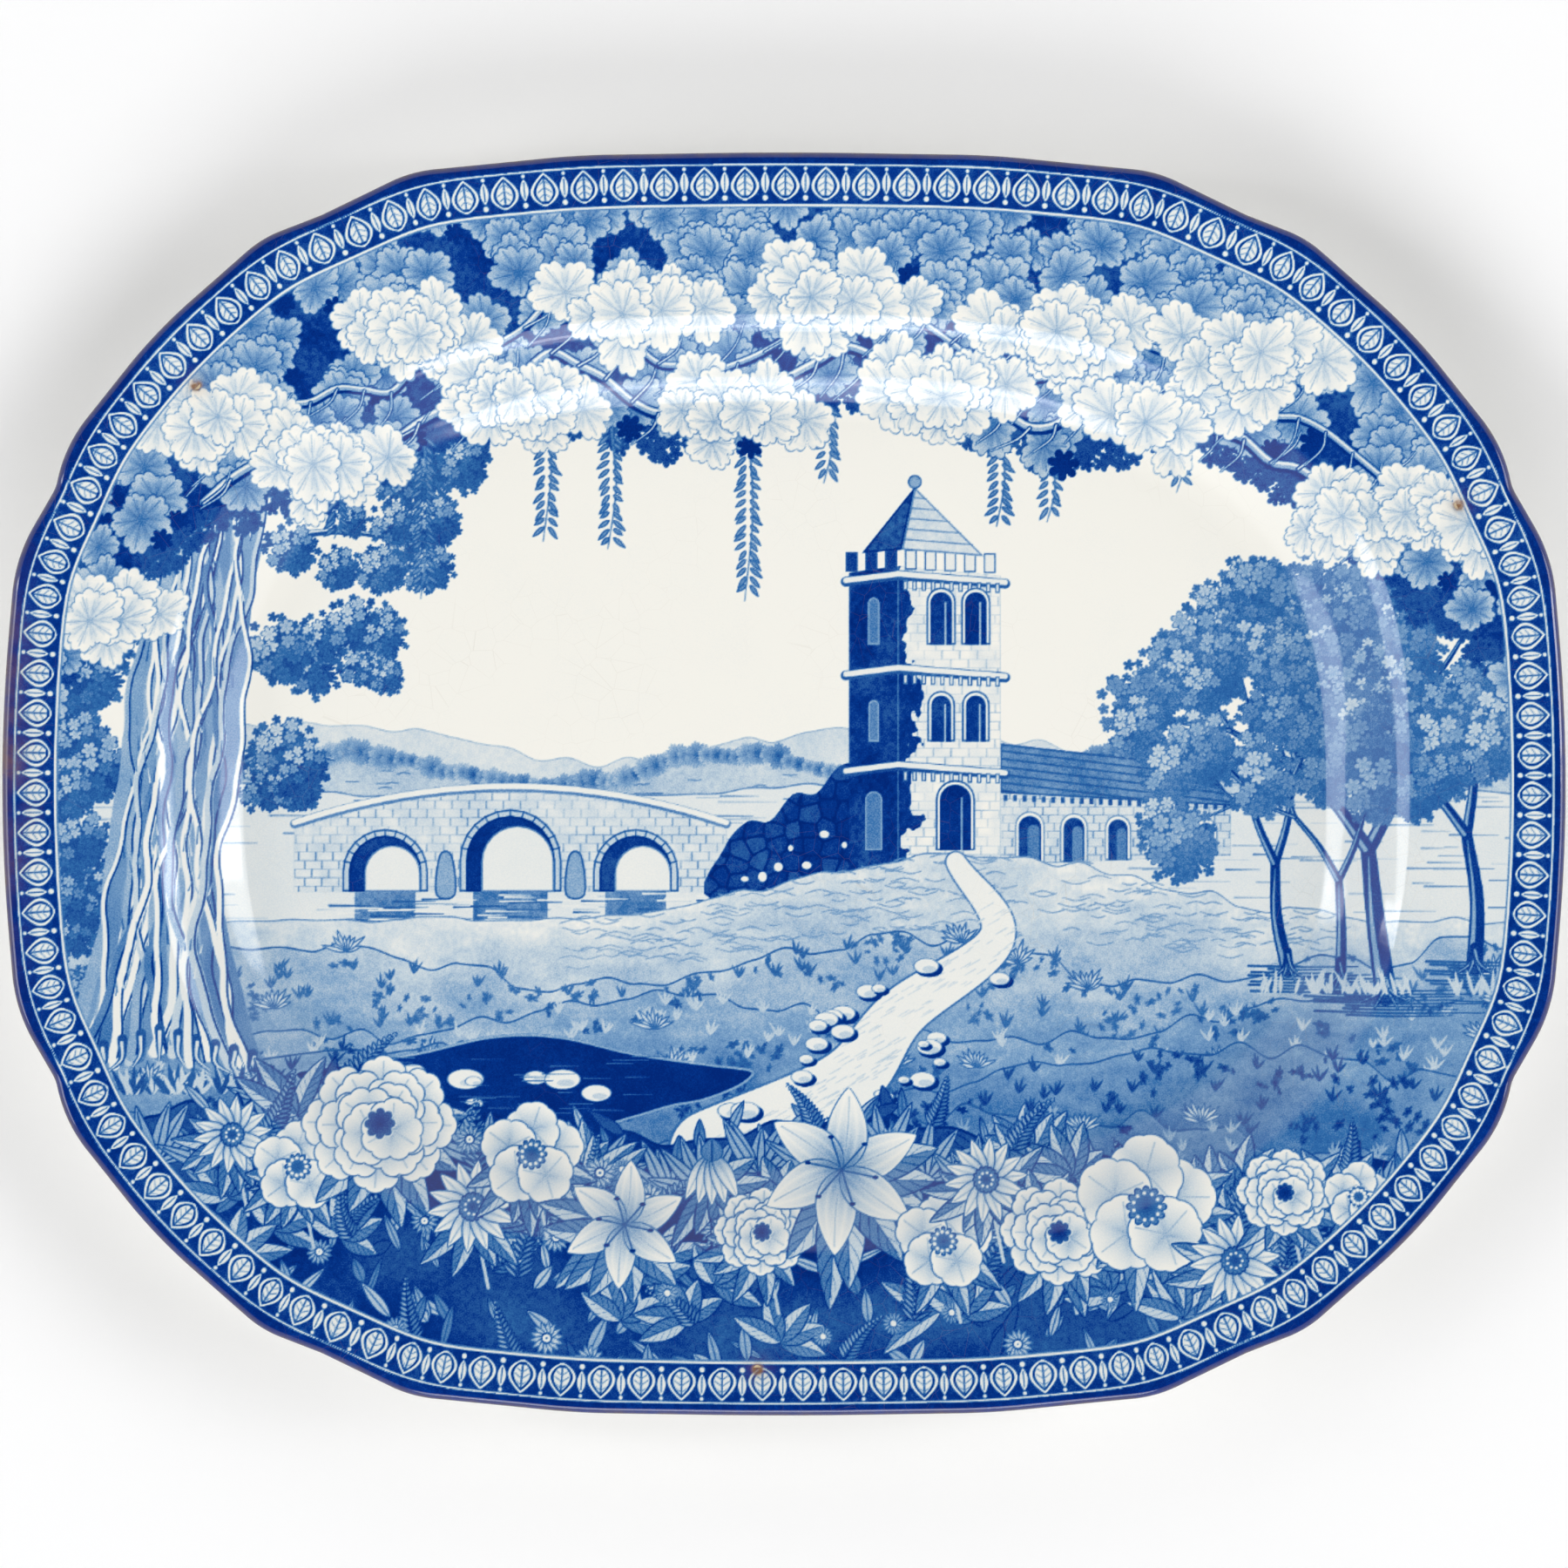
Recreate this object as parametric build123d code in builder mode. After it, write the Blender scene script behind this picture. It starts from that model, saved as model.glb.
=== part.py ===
from build123d import *

import os
from math import cos, pi, sin

# Oblong earthenware serving platter with a shaped edge, in millimetres.
#
# The platter lies on its foot ring: +Z is up, X runs along its length, and the origin is on the
# table under its middle. It is one pressed and fired piece of clay under a coat of clear glaze, so
# the model has three solids that lie face to face: the clay body, the glaze over the printed face
# and rim, and the glaze over the back. The bearing face of the foot is bare clay.

# Outline of the edge. Each entry is a corner (x, y) and the radius that rounds it: the middle of
# an end, one quadrant, then the middle of a long side. Two shallow notches part the lobes.
END_APEX = (237, 0, 525)
LONG_SIDE_APEX = (0, 190, 1500)
QUADRANT = [
    (231, 68, 50),
    (219, 89, 14),
    (216, 102, 45),
    (189, 136, 160),
    (157, 164, 35),
    (139, 171, 18),
    (112, 184, 40),
    (62, 189, 250),
]

# Level lines of the dish are superellipses that grow by a "reach" outside the floor of the well.
WELL_X, WELL_Y = 158.0, 109.5
WIDER_IN_Y = 1.04
ROUNDNESS = 2.7
CONTOUR_POINTS = 32

# Section through the wall: floor, cavetto and sloping rim.
FLOOR_Z = 8.0
THICKNESS = 5.4
CAVETTO_RUN = 32.0
CAVETTO_STEPS = 8
SHOULDER_RISE = 9.4
RIM_SLOPE = 0.29
RIM_REACH = 90.0
BACK_OUTSET = 2.0
CLEAR_ABOVE = 20.0

# Foot ring under the edge of the well.
FOOT_INNER_REACH, FOOT_OUTER_REACH = -4.5, 2.5
FOOT_TOP_Z = 4.0
FOOT_ROUND = 0.8
BARE_FOOT_Z = 0.9

# Lip, coat of glaze, and the scars that the kiln's spurs left in the face.
LIP_ROUND = 2.3
LIP_SPLIT = 2.8
GLAZE = 0.3
SPUR_SCARS = [(-177, 120), (203, 84), (-8, -176)]
SCAR_BALL = 2.4
SCAR_DEPTH = 0.75


def face_height(reach):
    """Height of the platter's face at a reach outside the floor of the well."""
    t = min(1.0, max(0.0, reach / CAVETTO_RUN))
    return FLOOR_Z + (RIM_SLOPE * reach + SHOULDER_RISE) * t * t * (3 - 2 * t)


def reach_at(x, y):
    """Reach of the level line through a point, found by halving."""
    low, high = -50.0, 120.0
    for _ in range(40):
        middle = (low + high) / 2
        across = abs(x / (WELL_X + middle)) ** ROUNDNESS
        along = abs(y / (WELL_Y + WIDER_IN_Y * middle)) ** ROUNDNESS
        if across + along > 1:
            low = middle
        else:
            high = middle
    return low


def level_line(reach, height):
    """The area inside a level line, at a height."""
    half_x, half_y = WELL_X + reach, WELL_Y + WIDER_IN_Y * reach
    power = 2 / ROUNDNESS
    points = []
    for step in range(CONTOUR_POINTS):
        angle = 2 * pi * step / CONTOUR_POINTS
        c, s = cos(angle), sin(angle)
        x = half_x * abs(c) ** power * (1 if c >= 0 else -1)
        y = half_y * abs(s) ** power * (1 if s >= 0 else -1)
        points.append((x, y))
    with BuildSketch(Plane.XY.offset(height)) as area:
        with BuildLine():
            Spline(*points, periodic=True)
        make_face()
    return area.sketch


def space_above(outset, drop):
    """The space above the face, moved outwards by outset and down by drop."""
    with BuildPart() as cavetto:
        for step in range(CAVETTO_STEPS + 1):
            reach = CAVETTO_RUN * step / CAVETTO_STEPS
            add(level_line(reach + outset, face_height(reach) - drop))
        loft()
    with BuildPart() as rim:
        add(level_line(CAVETTO_RUN + outset, face_height(CAVETTO_RUN) - drop))
        add(level_line(RIM_REACH + outset, face_height(RIM_REACH) - drop))
        loft(ruled=True)
        extrude(rim.faces().sort_by(Axis.Z)[-1], amount=CLEAR_ABOVE + drop)
        add(cavetto.part)
    return rim.part


def edge_prism(inset):
    """A tall block with the platter's outline, drawn in by inset."""
    quarter = [END_APEX, *QUADRANT, LONG_SIDE_APEX]
    half = quarter + [(-x, y, radius) for x, y, radius in reversed(quarter[:-1])]
    corners = half + [(x, -y, radius) for x, y, radius in reversed(half[1:-1])]
    with BuildPart() as prism:
        with BuildSketch(Plane.XY.offset(-1)):
            with BuildLine():
                points = [(x, y) for x, y, radius in corners]
                radii = [radius for x, y, radius in corners]
                FilletPolyline(*points, radius=radii, close=True)
            make_face()
            if inset:
                offset(amount=-inset)
        extrude(amount=60)
    return prism.part


def foot_ring(inset):
    """The foot ring, drawn in by inset at its sides and its tread."""
    with BuildPart() as ring:
        add(level_line(FOOT_OUTER_REACH - inset, inset))
        add(level_line(FOOT_INNER_REACH + inset, inset), mode=Mode.SUBTRACT)
        extrude(amount=FOOT_TOP_Z - inset)
        tread = ring.faces().sort_by(Axis.Z)[0]
        fillet(tread.edges(), radius=FOOT_ROUND - inset)
    return ring.part


def runs_round(edge):
    """True for an edge that runs round the lip, not up it."""
    start, end = edge @ 0, edge @ 1
    return abs(end.Z - start.Z) < min(2.0, abs(end.X - start.X) + abs(end.Y - start.Y))


def platter(inset):
    """The whole platter, or what lies under a coat of glaze as thick as inset."""
    with BuildPart() as form:
        add(space_above(BACK_OUTSET - inset / 2, THICKNESS - inset))
        add(foot_ring(inset))
        add(edge_prism(inset), mode=Mode.INTERSECT)
        add(space_above(0.0, inset), mode=Mode.SUBTRACT)
        uprights = form.faces().filter_by(lambda face: face.center().Z > FLOOR_Z + CLEAR_ABOVE)
        uprights = uprights.filter_by(lambda face: abs(face.normal_at(face.center()).Z) < 0.01)
        fillet(uprights.edges().filter_by(runs_round), radius=LIP_ROUND - inset)
    return form.part


def spur_scars():
    """The little hollows that the spurs left in the face of the rim."""
    with BuildPart() as scars:
        for x, y in SPUR_SCARS:
            height = face_height(reach_at(x, y)) + SCAR_BALL - SCAR_DEPTH
            with Locations((x, y, height)):
                Sphere(radius=SCAR_BALL)
    return scars.part


os.makedirs("parts", exist_ok=True)
whole = platter(0.0)
scars = spur_scars()

# Clay body: bare on the tread of the foot, and GLAZE under the surface everywhere else.
with BuildPart() as earthenware_body:
    add(whole)
    with Locations((0, 0, BARE_FOOT_Z / 2)):
        Box(600, 500, BARE_FOOT_Z, mode=Mode.INTERSECT)
    add(platter(GLAZE))
    add(scars, mode=Mode.SUBTRACT)
earthenware_body.part.label = "earthenware_body"
export_step(earthenware_body.part, "parts/earthenware_body.step")

# Coat over the printed face, which laps half-way round the lip.
with BuildPart() as face_glaze:
    add(whole)
    add(space_above(BACK_OUTSET, THICKNESS - LIP_SPLIT), mode=Mode.INTERSECT)
    add(earthenware_body.part, mode=Mode.SUBTRACT)
    add(scars, mode=Mode.SUBTRACT)
face_glaze.part.label = "face_glaze"
export_step(face_glaze.part, "parts/face_glaze.step")

# Coat over the back, from the middle of the lip to the tread of the foot.
with BuildPart() as back_glaze:
    add(whole)
    add(space_above(BACK_OUTSET, THICKNESS - LIP_SPLIT), mode=Mode.SUBTRACT)
    add(earthenware_body.part, mode=Mode.SUBTRACT)
back_glaze.part.label = "back_glaze"
export_step(back_glaze.part, "parts/back_glaze.step")

for built in (earthenware_body, face_glaze, back_glaze):
    size = built.part.bounding_box().size
    print(
        built.part.label,
        f"{size.X:.1f} x {size.Y:.1f} x {size.Z:.1f} mm,",
        f"{built.part.volume / 1000:.1f} cm3,",
        f"{len(built.part.solids())} solid,",
        f"valid {built.part.is_valid}",
    )
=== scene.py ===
from math import cos, pi, radians, sin

import bpy
import numpy as np
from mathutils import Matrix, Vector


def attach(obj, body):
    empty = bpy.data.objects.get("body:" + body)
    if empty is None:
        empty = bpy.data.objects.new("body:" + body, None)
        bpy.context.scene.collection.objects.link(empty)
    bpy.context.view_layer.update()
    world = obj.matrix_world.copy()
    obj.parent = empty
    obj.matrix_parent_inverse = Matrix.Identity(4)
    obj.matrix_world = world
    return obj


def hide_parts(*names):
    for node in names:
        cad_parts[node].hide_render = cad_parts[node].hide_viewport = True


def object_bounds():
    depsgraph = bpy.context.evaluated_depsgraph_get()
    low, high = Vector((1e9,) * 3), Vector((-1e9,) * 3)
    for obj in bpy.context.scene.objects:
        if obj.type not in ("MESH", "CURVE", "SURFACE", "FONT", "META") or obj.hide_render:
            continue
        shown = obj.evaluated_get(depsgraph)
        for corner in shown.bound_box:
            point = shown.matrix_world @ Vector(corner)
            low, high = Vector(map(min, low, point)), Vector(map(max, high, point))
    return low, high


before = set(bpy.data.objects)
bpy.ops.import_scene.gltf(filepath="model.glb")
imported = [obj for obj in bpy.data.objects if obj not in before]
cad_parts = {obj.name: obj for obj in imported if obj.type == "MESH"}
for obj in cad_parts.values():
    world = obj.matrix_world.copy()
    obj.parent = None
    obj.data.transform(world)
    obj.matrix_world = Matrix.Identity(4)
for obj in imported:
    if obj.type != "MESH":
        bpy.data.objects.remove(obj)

# A blue-printed serving platter. The CAD model gives its form. This script adds the printed and
# glazed skin of its face, the materials, the floor, the lights and the camera. Lengths in the print
# and the skin are in millimetres, and Blender's own are in metres.

MM = 0.001
cad_low, cad_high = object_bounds()
HALF_X = cad_high.x / MM
HALF_Y = cad_high.y / MM

# ==== Form: the driving dimensions of the CAD model, which the skin follows ====

END_APEX = (237, 0, 525)
LONG_SIDE_APEX = (0, 190, 1500)
QUADRANT = [
    (231, 68, 50),
    (219, 89, 14),
    (216, 102, 45),
    (189, 136, 160),
    (157, 164, 35),
    (139, 171, 18),
    (112, 184, 40),
    (62, 189, 250),
]
WELL_X, WELL_Y = 158.0, 109.5
WIDER_IN_Y = 1.04
ROUNDNESS = 2.7
FLOOR_Z = 8.0
CAVETTO_RUN = 32.0
SHOULDER_RISE = 9.4
RIM_SLOPE = 0.29
LIP_ROUND = 2.3
SPUR_SCARS = [(-177, 120), (203, 84), (-8, -176)]
SCAR_BALL = 2.4
SCAR_DEPTH = 0.75

OUTLINE_STEP = 0.5
SOFTENED = 10.0  # how far the border's own path smooths over the notches
SKIN_INSET = 3.1  # where the flat of the face gives way to the round of the lip
SKIN_LIFT = 0.12  # the skin stands this far off the CAD face, so that no clay shows through
SKIN_STEP = 0.35
STRIPS = 15  # enough that none of them passes 200 000 faces
ARC_POINTS = 25


def reach_at(x, y):
    """Reach of the level line through each point, outside the floor of the well, found by halving."""
    low = np.full(x.shape, -50.0)
    high = np.full(x.shape, 120.0)
    for _ in range(24):
        middle = (low + high) / 2
        across = np.abs(x / (WELL_X + middle)) ** ROUNDNESS
        along = np.abs(y / (WELL_Y + WIDER_IN_Y * middle)) ** ROUNDNESS
        outside = across + along > 1
        low = np.where(outside, middle, low)
        high = np.where(outside, high, middle)
    return low


def face_height(x, y):
    """Height of the platter's face."""
    reach = reach_at(x, y)
    t = np.clip(reach / CAVETTO_RUN, 0, 1)
    return FLOOR_Z + (RIM_SLOPE * reach + SHOULDER_RISE) * t * t * (3 - 2 * t)


def outline():
    """Points along the platter's edge, with its corners rounded, at even steps."""
    quarter = [END_APEX, *QUADRANT, LONG_SIDE_APEX]
    half = quarter + [(-x, y, radius) for x, y, radius in reversed(quarter[:-1])]
    corners = half + [(x, -y, radius) for x, y, radius in reversed(half[1:-1])]
    place = np.array([(x, y) for x, y, radius in corners], float)
    rounded = []
    for k, (x, y, radius) in enumerate(corners):
        before = place[k - 1] - place[k]
        after = place[(k + 1) % len(place)] - place[k]
        before /= np.hypot(*before)
        after /= np.hypot(*after)
        half_angle = np.arccos(np.clip(before @ after, -1, 1)) / 2
        inwards = (before + after) / np.hypot(*(before + after))
        centre = place[k] + inwards * radius / sin(half_angle)
        first = place[k] + before * radius / np.tan(half_angle) - centre
        last = place[k] + after * radius / np.tan(half_angle) - centre
        turn = np.arctan2(first[0] * last[1] - first[1] * last[0], first @ last)
        for part in np.linspace(0, turn, ARC_POINTS):
            c, s = cos(part), sin(part)
            rounded.append(centre + (first[0] * c - first[1] * s, first[0] * s + first[1] * c))
    return evenly(np.array(rounded))


def evenly(line):
    """A closed line's points, spaced again at even steps."""
    closed = np.vstack([line, line[:1]])
    along = np.concatenate([[0], np.cumsum(np.hypot(*np.diff(closed, axis=0).T))])
    count = int(along[-1] / OUTLINE_STEP)
    places = np.linspace(0, along[-1], count, endpoint=False)
    return np.column_stack([np.interp(places, along, closed[:, k]) for k in (0, 1)])


def softened(line, length):
    """A closed line with everything shorter than a length smoothed out of it."""
    waves = np.fft.fftfreq(len(line), OUTLINE_STEP)
    keep = np.exp(-2 * (pi * length * waves) ** 2)[:, None]
    return evenly(np.fft.ifft(np.fft.fft(line, axis=0) * keep, axis=0).real)


def between(values, place):
    """A closed line's values at places that fall between its points."""
    k = np.floor(place).astype(int)
    part = (place - k)[:, None]
    return values[k % len(values)] * (1 - part) + values[(k + 1) % len(values)] * part


def along_line(line, x, y):
    """Place along a closed line, distance inside it, and the line's direction there, for each point."""
    count = len(line)
    ahead = np.roll(line, -1, axis=0) - np.roll(line, 1, axis=0)
    length = np.hypot(*ahead.T)
    tangent = ahead / length[:, None]
    spacing = length / 2
    bearing = np.unwrap(np.arctan2(line[:, 1], line[:, 0]))
    angle = np.arctan2(y, x)
    angle = np.where(angle < bearing[0], angle + 2 * pi, angle)
    place = np.interp(angle, np.append(bearing, bearing[0] + 2 * pi), np.arange(count + 1.0))
    # The place creeps along the line until it is square to the point.
    for _ in range(8):
        near_x, near_y = between(line, place).T
        here = np.floor(place).astype(int) % count
        step = (x - near_x) * tangent[here, 0] + (y - near_y) * tangent[here, 1]
        place = place + 0.8 * np.clip(step / spacing[here], -12, 12)
    near_x, near_y = between(line, place).T
    tx, ty = between(tangent, place).T
    inside = (near_x - x) * ty - (near_y - y) * tx
    return place * OUTLINE_STEP, inside, (tx, ty)


def near_edge(x, y, depth):
    """True for the points that lie less than about a depth inside the edge."""
    return np.abs(x / (HALF_X - depth)) ** 3 + np.abs(y / (HALF_Y - depth)) ** 3 > 0.8


edge = outline()
border_path = softened(edge, SOFTENED)

# ==== Print ====
# The print is drawn on a plan of the platter as an amount of cobalt, from 0, bare cream, to 1. It
# is a plain made-up landscape: trees that frame a sky, a tower and a bridge, a meadow with a path,
# and a bank of flowers, inside a border of repeated leaves.

PRINT_STEP = 0.25
PRINT_X, PRINT_Y = HALF_X + 2, HALF_Y + 2  # the plan reaches a little past the edge
NOISE_SIZE = 256
print_x = np.arange(-PRINT_X, PRINT_X, PRINT_STEP)
print_y = np.arange(-PRINT_Y, PRINT_Y, PRINT_STEP)
ink = np.zeros((len(print_y), len(print_x)))
rng = np.random.default_rng(11)
noise_table = rng.random((NOISE_SIZE, NOISE_SIZE))

PALE, LIGHT, MID, DEEP, DARK = 0.2, 0.36, 0.55, 0.76, 0.95

# The picture fills the platter inside its border.
BORDER_DEPTH = 16.0
FIELD_X = HALF_X - BORDER_DEPTH
FIELD_Y = HALF_Y - BORDER_DEPTH
HORIZON = -0.02 * FIELD_Y
KNOLL_X = 0.2 * FIELD_X
KNOLL_RISE, KNOLL_SPREAD = 21, 74
SHORE = -0.24 * FIELD_Y
BANK = -0.66 * FIELD_Y
CANOPY, CANOPY_SAG = 0.64 * FIELD_Y, 82  # the canopy's lower edge, and how far its ends hang down
FIELD_POWER = 3.2  # of the superellipse that the picture's own edge comes near to


# ---- The engraver's tools ----


def window(x0, y0, x1, y1):
    """The part of the print in a box: its index, and the places of its points."""
    i0, i1 = np.searchsorted(print_x, (x0, x1))
    j0, j1 = np.searchsorted(print_y, (y0, y1))
    x, y = np.meshgrid(print_x[i0:i1], print_y[j0:j1])
    return np.s_[j0:j1, i0:i1], x, y


def cover(distance):
    """How much of each point a shape covers, which is all of it where the distance is negative."""
    return np.clip(0.5 - distance / PRINT_STEP, 0, 1)


def lay(where, distance, tone, strength=1.0):
    """Prints a tone wherever the distance to a shape's edge is negative."""
    ink[where] += (tone - ink[where]) * cover(distance) * strength


def grain(x, y, size, seed=0):
    """Smooth noise from -1 to 1, with blotches of about the given size."""
    u, v = x / size + 17.3 * seed + 500, y / size + 31.7 * seed + 500
    i, j = np.floor(u).astype(int), np.floor(v).astype(int)
    u, v = u - i, v - j
    u, v = u * u * (3 - 2 * u), v * v * (3 - 2 * v)
    i, j = i % NOISE_SIZE, j % NOISE_SIZE
    k, m = (i + 1) % NOISE_SIZE, (j + 1) % NOISE_SIZE
    low = noise_table[j, i] * (1 - u) + noise_table[j, k] * u
    high = noise_table[m, i] * (1 - u) + noise_table[m, k] * u
    return (low * (1 - v) + high * v) * 2 - 1


def cells(x, y, size, seed=0):
    """Pebbled ground: distance to the nearest pebble's middle and to its edge, and its number."""
    u, v = x / size + 500, y / size + 500
    i, j = np.floor(u).astype(int), np.floor(v).astype(int)
    first = np.full(u.shape, 9.0)
    second = np.full(u.shape, 9.0)
    number = np.zeros(u.shape)
    for di in (-1, 0, 1):
        for dj in (-1, 0, 1):
            a, b = (i + di + 7 * seed) % NOISE_SIZE, (j + dj) % NOISE_SIZE
            left = i + di + 0.15 + 0.7 * noise_table[b, a] - u
            down = j + dj + 0.15 + 0.7 * noise_table[a, b] - v
            away = np.hypot(left, down)
            nearer = away < first
            second = np.where(nearer, first, np.minimum(second, away))
            first = np.where(nearer, away, first)
            number = np.where(nearer, noise_table[(a + 5) % NOISE_SIZE, b], number)
    return first * size, (second - first) * size / 2, number


def curve(points, closed=True, steps=5):
    """A smooth line through the points."""
    p = np.asarray(points, float)
    if closed:
        p = np.vstack([p[-1:], p, p[:2]])
    else:
        p = np.vstack([2 * p[0] - p[1], p, 2 * p[-1] - p[-2]])
    t = np.linspace(0, 1, steps, endpoint=False)[:, None]
    a, b, c, d = (p[k:len(p) - 3 + k, None] for k in range(4))
    bend = (2 * a - 5 * b + 4 * c - d) * t**2 + (3 * b - a - 3 * c + d) * t**3
    line = (2 * b + (c - a) * t + bend).reshape(-1, 2) / 2
    return line if closed else np.vstack([line, p[-2]])


def edge_distance(x, y, line):
    """Distance to a closed line, negative inside it."""
    nearest = np.full(x.shape, 1e9)
    inside = np.zeros(x.shape, bool)
    for (ax, ay), (bx, by) in zip(line, np.roll(line, -1, axis=0)):
        ex, ey = bx - ax, by - ay
        wx, wy = x - ax, y - ay
        t = np.clip((wx * ex + wy * ey) / (ex * ex + ey * ey + 1e-12), 0, 1)
        nearest = np.minimum(nearest, (wx - t * ex) ** 2 + (wy - t * ey) ** 2)
        if ay != by:
            inside ^= ((ay > y) != (by > y)) & (wx < ex * wy / ey)
    return np.where(inside, -1, 1) * np.sqrt(nearest)


def fill(points, tone, rim=None, rim_width=0.5, sharp=False):
    """Prints a closed shape, with an outline if it has a rim. A tone may be a function of place."""
    line = np.asarray(points, float) if sharp else curve(points)
    where, x, y = window(*(line.min(axis=0) - 1), *(line.max(axis=0) + 1))
    distance = edge_distance(x, y, line)
    lay(where, distance, tone(x, y) if callable(tone) else tone)
    if rim is not None:
        lay(where, np.abs(distance + rim_width / 2) - rim_width / 2, rim)
    return where, x, y, distance


def stroke(points, width, tone, end=None, sharp=False, steps=5):
    """Prints a line, as wide as width at its start and end at its end."""
    line = np.asarray(points, float) if sharp else curve(points, closed=False, steps=steps)
    widths = np.linspace(width, width if end is None else end, len(line)) / 2
    for (ax, ay), (bx, by), wide, narrow in zip(line, line[1:], widths, widths[1:]):
        reach = max(wide, narrow) + PRINT_STEP
        low_x, low_y = min(ax, bx) - reach, min(ay, by) - reach
        where, x, y = window(low_x, low_y, max(ax, bx) + reach, max(ay, by) + reach)
        ex, ey = bx - ax, by - ay
        t = np.clip(((x - ax) * ex + (y - ay) * ey) / (ex * ex + ey * ey + 1e-12), 0, 1)
        away = np.hypot(x - ax - t * ex, y - ay - t * ey)
        lay(where, away - (wide + (narrow - wide) * t), tone)


def box(x0, y0, x1, y1, tone, rim=None, rim_width=0.4):
    """Prints an upright rectangle."""
    return fill([(x0, y0), (x1, y0), (x1, y1), (x0, y1)], tone, rim, rim_width, sharp=True)


def polar(x, y, size, squash=1.0, turn=0.0):
    """A window about a point, as distance from it and angle."""
    where, px, py = window(x - size, y - size, x + size, y + size)
    u = (px - x) * cos(turn) + (py - y) * sin(turn)
    v = ((py - y) * cos(turn) - (px - x) * sin(turn)) / squash
    return where, np.hypot(u, v), np.arctan2(v, u)


def rosette(x, y, size, lobes, tones, depth=0.3, turn=0.0, rim=None, vein=None, squash=1.0, frill=0.0):
    """A lobed leaf or an open flower, shaded from its middle to its edge."""
    where, radius, angle = polar(x, y, size * 1.15, squash, turn)
    lobe = np.abs(np.cos(lobes * angle / 2))
    rim_line = size * (1 - depth + depth * lobe**0.55)
    if frill:
        rim_line = rim_line * (1 - frill + frill * np.abs(np.cos(lobes * 1.5 * angle)) ** 0.6)
    part = np.clip(radius / rim_line, 0, 1)
    centre, outer = tones
    tone = outer + (centre - outer) * ((1 - part) ** 1.3 + 0.35 * (1 - lobe) ** 2)
    lay(where, radius - rim_line, tone)
    if vein is not None:
        off = np.abs(np.sin(lobes * angle / 2)) * radius * 2 / lobes
        lay(where, np.maximum(off - 0.22, radius - rim_line * 0.82), vein, 0.8)
    if rim is not None:
        lay(where, np.abs(radius - rim_line) - 0.22, rim, 0.85)


def blade(x, y, length, width, angle, tone, rib=None, rim=None, bend=0.0):
    """A pointed leaf or petal that grows from a point at an angle in degrees."""
    a = radians(angle)
    where, px, py = window(x - length, y - length, x + length, y + length)
    u = ((px - x) * cos(a) + (py - y) * sin(a)) / length
    v = (py - y) * cos(a) - (px - x) * sin(a) - bend * length * u * u
    t = np.clip(u, 0, 1)
    beyond = (u < 0) | (u > 1)
    half = width / 2 * np.sin(pi * t**0.8) ** 0.75
    distance = np.where(beyond, 1.0, np.abs(v) - half)
    lay(where, distance, tone(t, v / (half + 0.01)) if callable(tone) else tone)
    if rim is not None:
        lay(where, np.where(beyond, 1.0, np.abs(distance + 0.15) - 0.2), rim, 0.9)
    if rib is not None:
        lay(where, np.where((u < 0.03) | (u > 0.9), 1.0, np.abs(v) - 0.2), rib, 0.9)


def disc(x, y, size, tone, squash=1.0, rim=None):
    """A round or oval spot."""
    where, radius, _ = polar(x, y, size + 0.5, squash)
    lay(where, radius - size, tone)
    if rim is not None:
        lay(where, np.abs(radius - size) - 0.2, rim)


def ridge(level, swell, length, phase, rough=0.0, seed=0):
    """A line of ground: a level, a long swell and some roughness."""
    return lambda x: level + swell * np.sin(2 * pi * x / length + phase) + rough * grain(x, 0 * x, 9.0, seed)


def flat(level):
    """A line of ground with no swell."""
    return lambda x: level


def ground(height, tone, rim=None, rim_width=0.6):
    """Prints all that lies below a line of ground."""
    where, x, y = window(-HALF_X, -HALF_Y, HALF_X, HALF_Y)
    distance = y - height(x)
    lay(where, distance, tone(x, y) if callable(tone) else tone)
    if rim is not None:
        lay(where, np.abs(distance + rim_width / 2) - rim_width / 2, rim)


def mottled(tone, amount=0.07):
    """An even tone with the slight blotches of a hand-wiped plate."""
    return lambda x, y: tone + amount * grain(x, y, 1.1) + amount * grain(x, y, 8.0, 3)


def scattered(count, low, high, left=-FIELD_X, right=FIELD_X):
    """Seeded places between two lines of ground, the farthest first."""
    x = rng.uniform(left, right, count)
    part = rng.random(count)
    y = low(x) + (high(x) - low(x)) * part
    order = np.argsort(-y)
    return list(zip(x[order], y[order]))


def around(x, y, reach, count, step, start=0.0, squash=1.0):
    """Places round a point, a step of angle apart, with the angle of each."""
    for k in range(count):
        a = start + step * k
        yield x + reach * cos(a), y + reach * squash * sin(a), a


def masonry(where, x, y, distance, height, length, tone, joint):
    """Squared stones inside a shape that has just been filled."""
    row = np.floor(y / height)
    across = (x / length + 0.5 * (row % 2) + 0.13 * np.sin(row * 5.0)) % 1
    off = np.minimum(np.minimum(across, 1 - across) * length, (y / height - row) * height)
    joints = np.clip(1.1 - off / 0.35, 0, 1) * np.clip(0.75 + 0.7 * grain(x, y, 7.0, 6), 0, 1)
    shade = tone + 0.05 * grain(x, y, 3.0, 5)
    lay(where, distance, shade + (joint - shade) * joints)


def rubble(where, x, y, distance, size, tone, joint, seed=0):
    """Rounded stones inside a shape that has just been filled."""
    middle, border, number = cells(x, y, size, seed)
    shade = tone + 0.16 * (number - 0.5) + 0.05 * middle / size + 0.04 * grain(x, y, 0.9)
    joints = np.clip(1.2 - border / 0.35, 0, 1)
    lay(where, distance, shade + (joint - shade) * joints)


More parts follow.
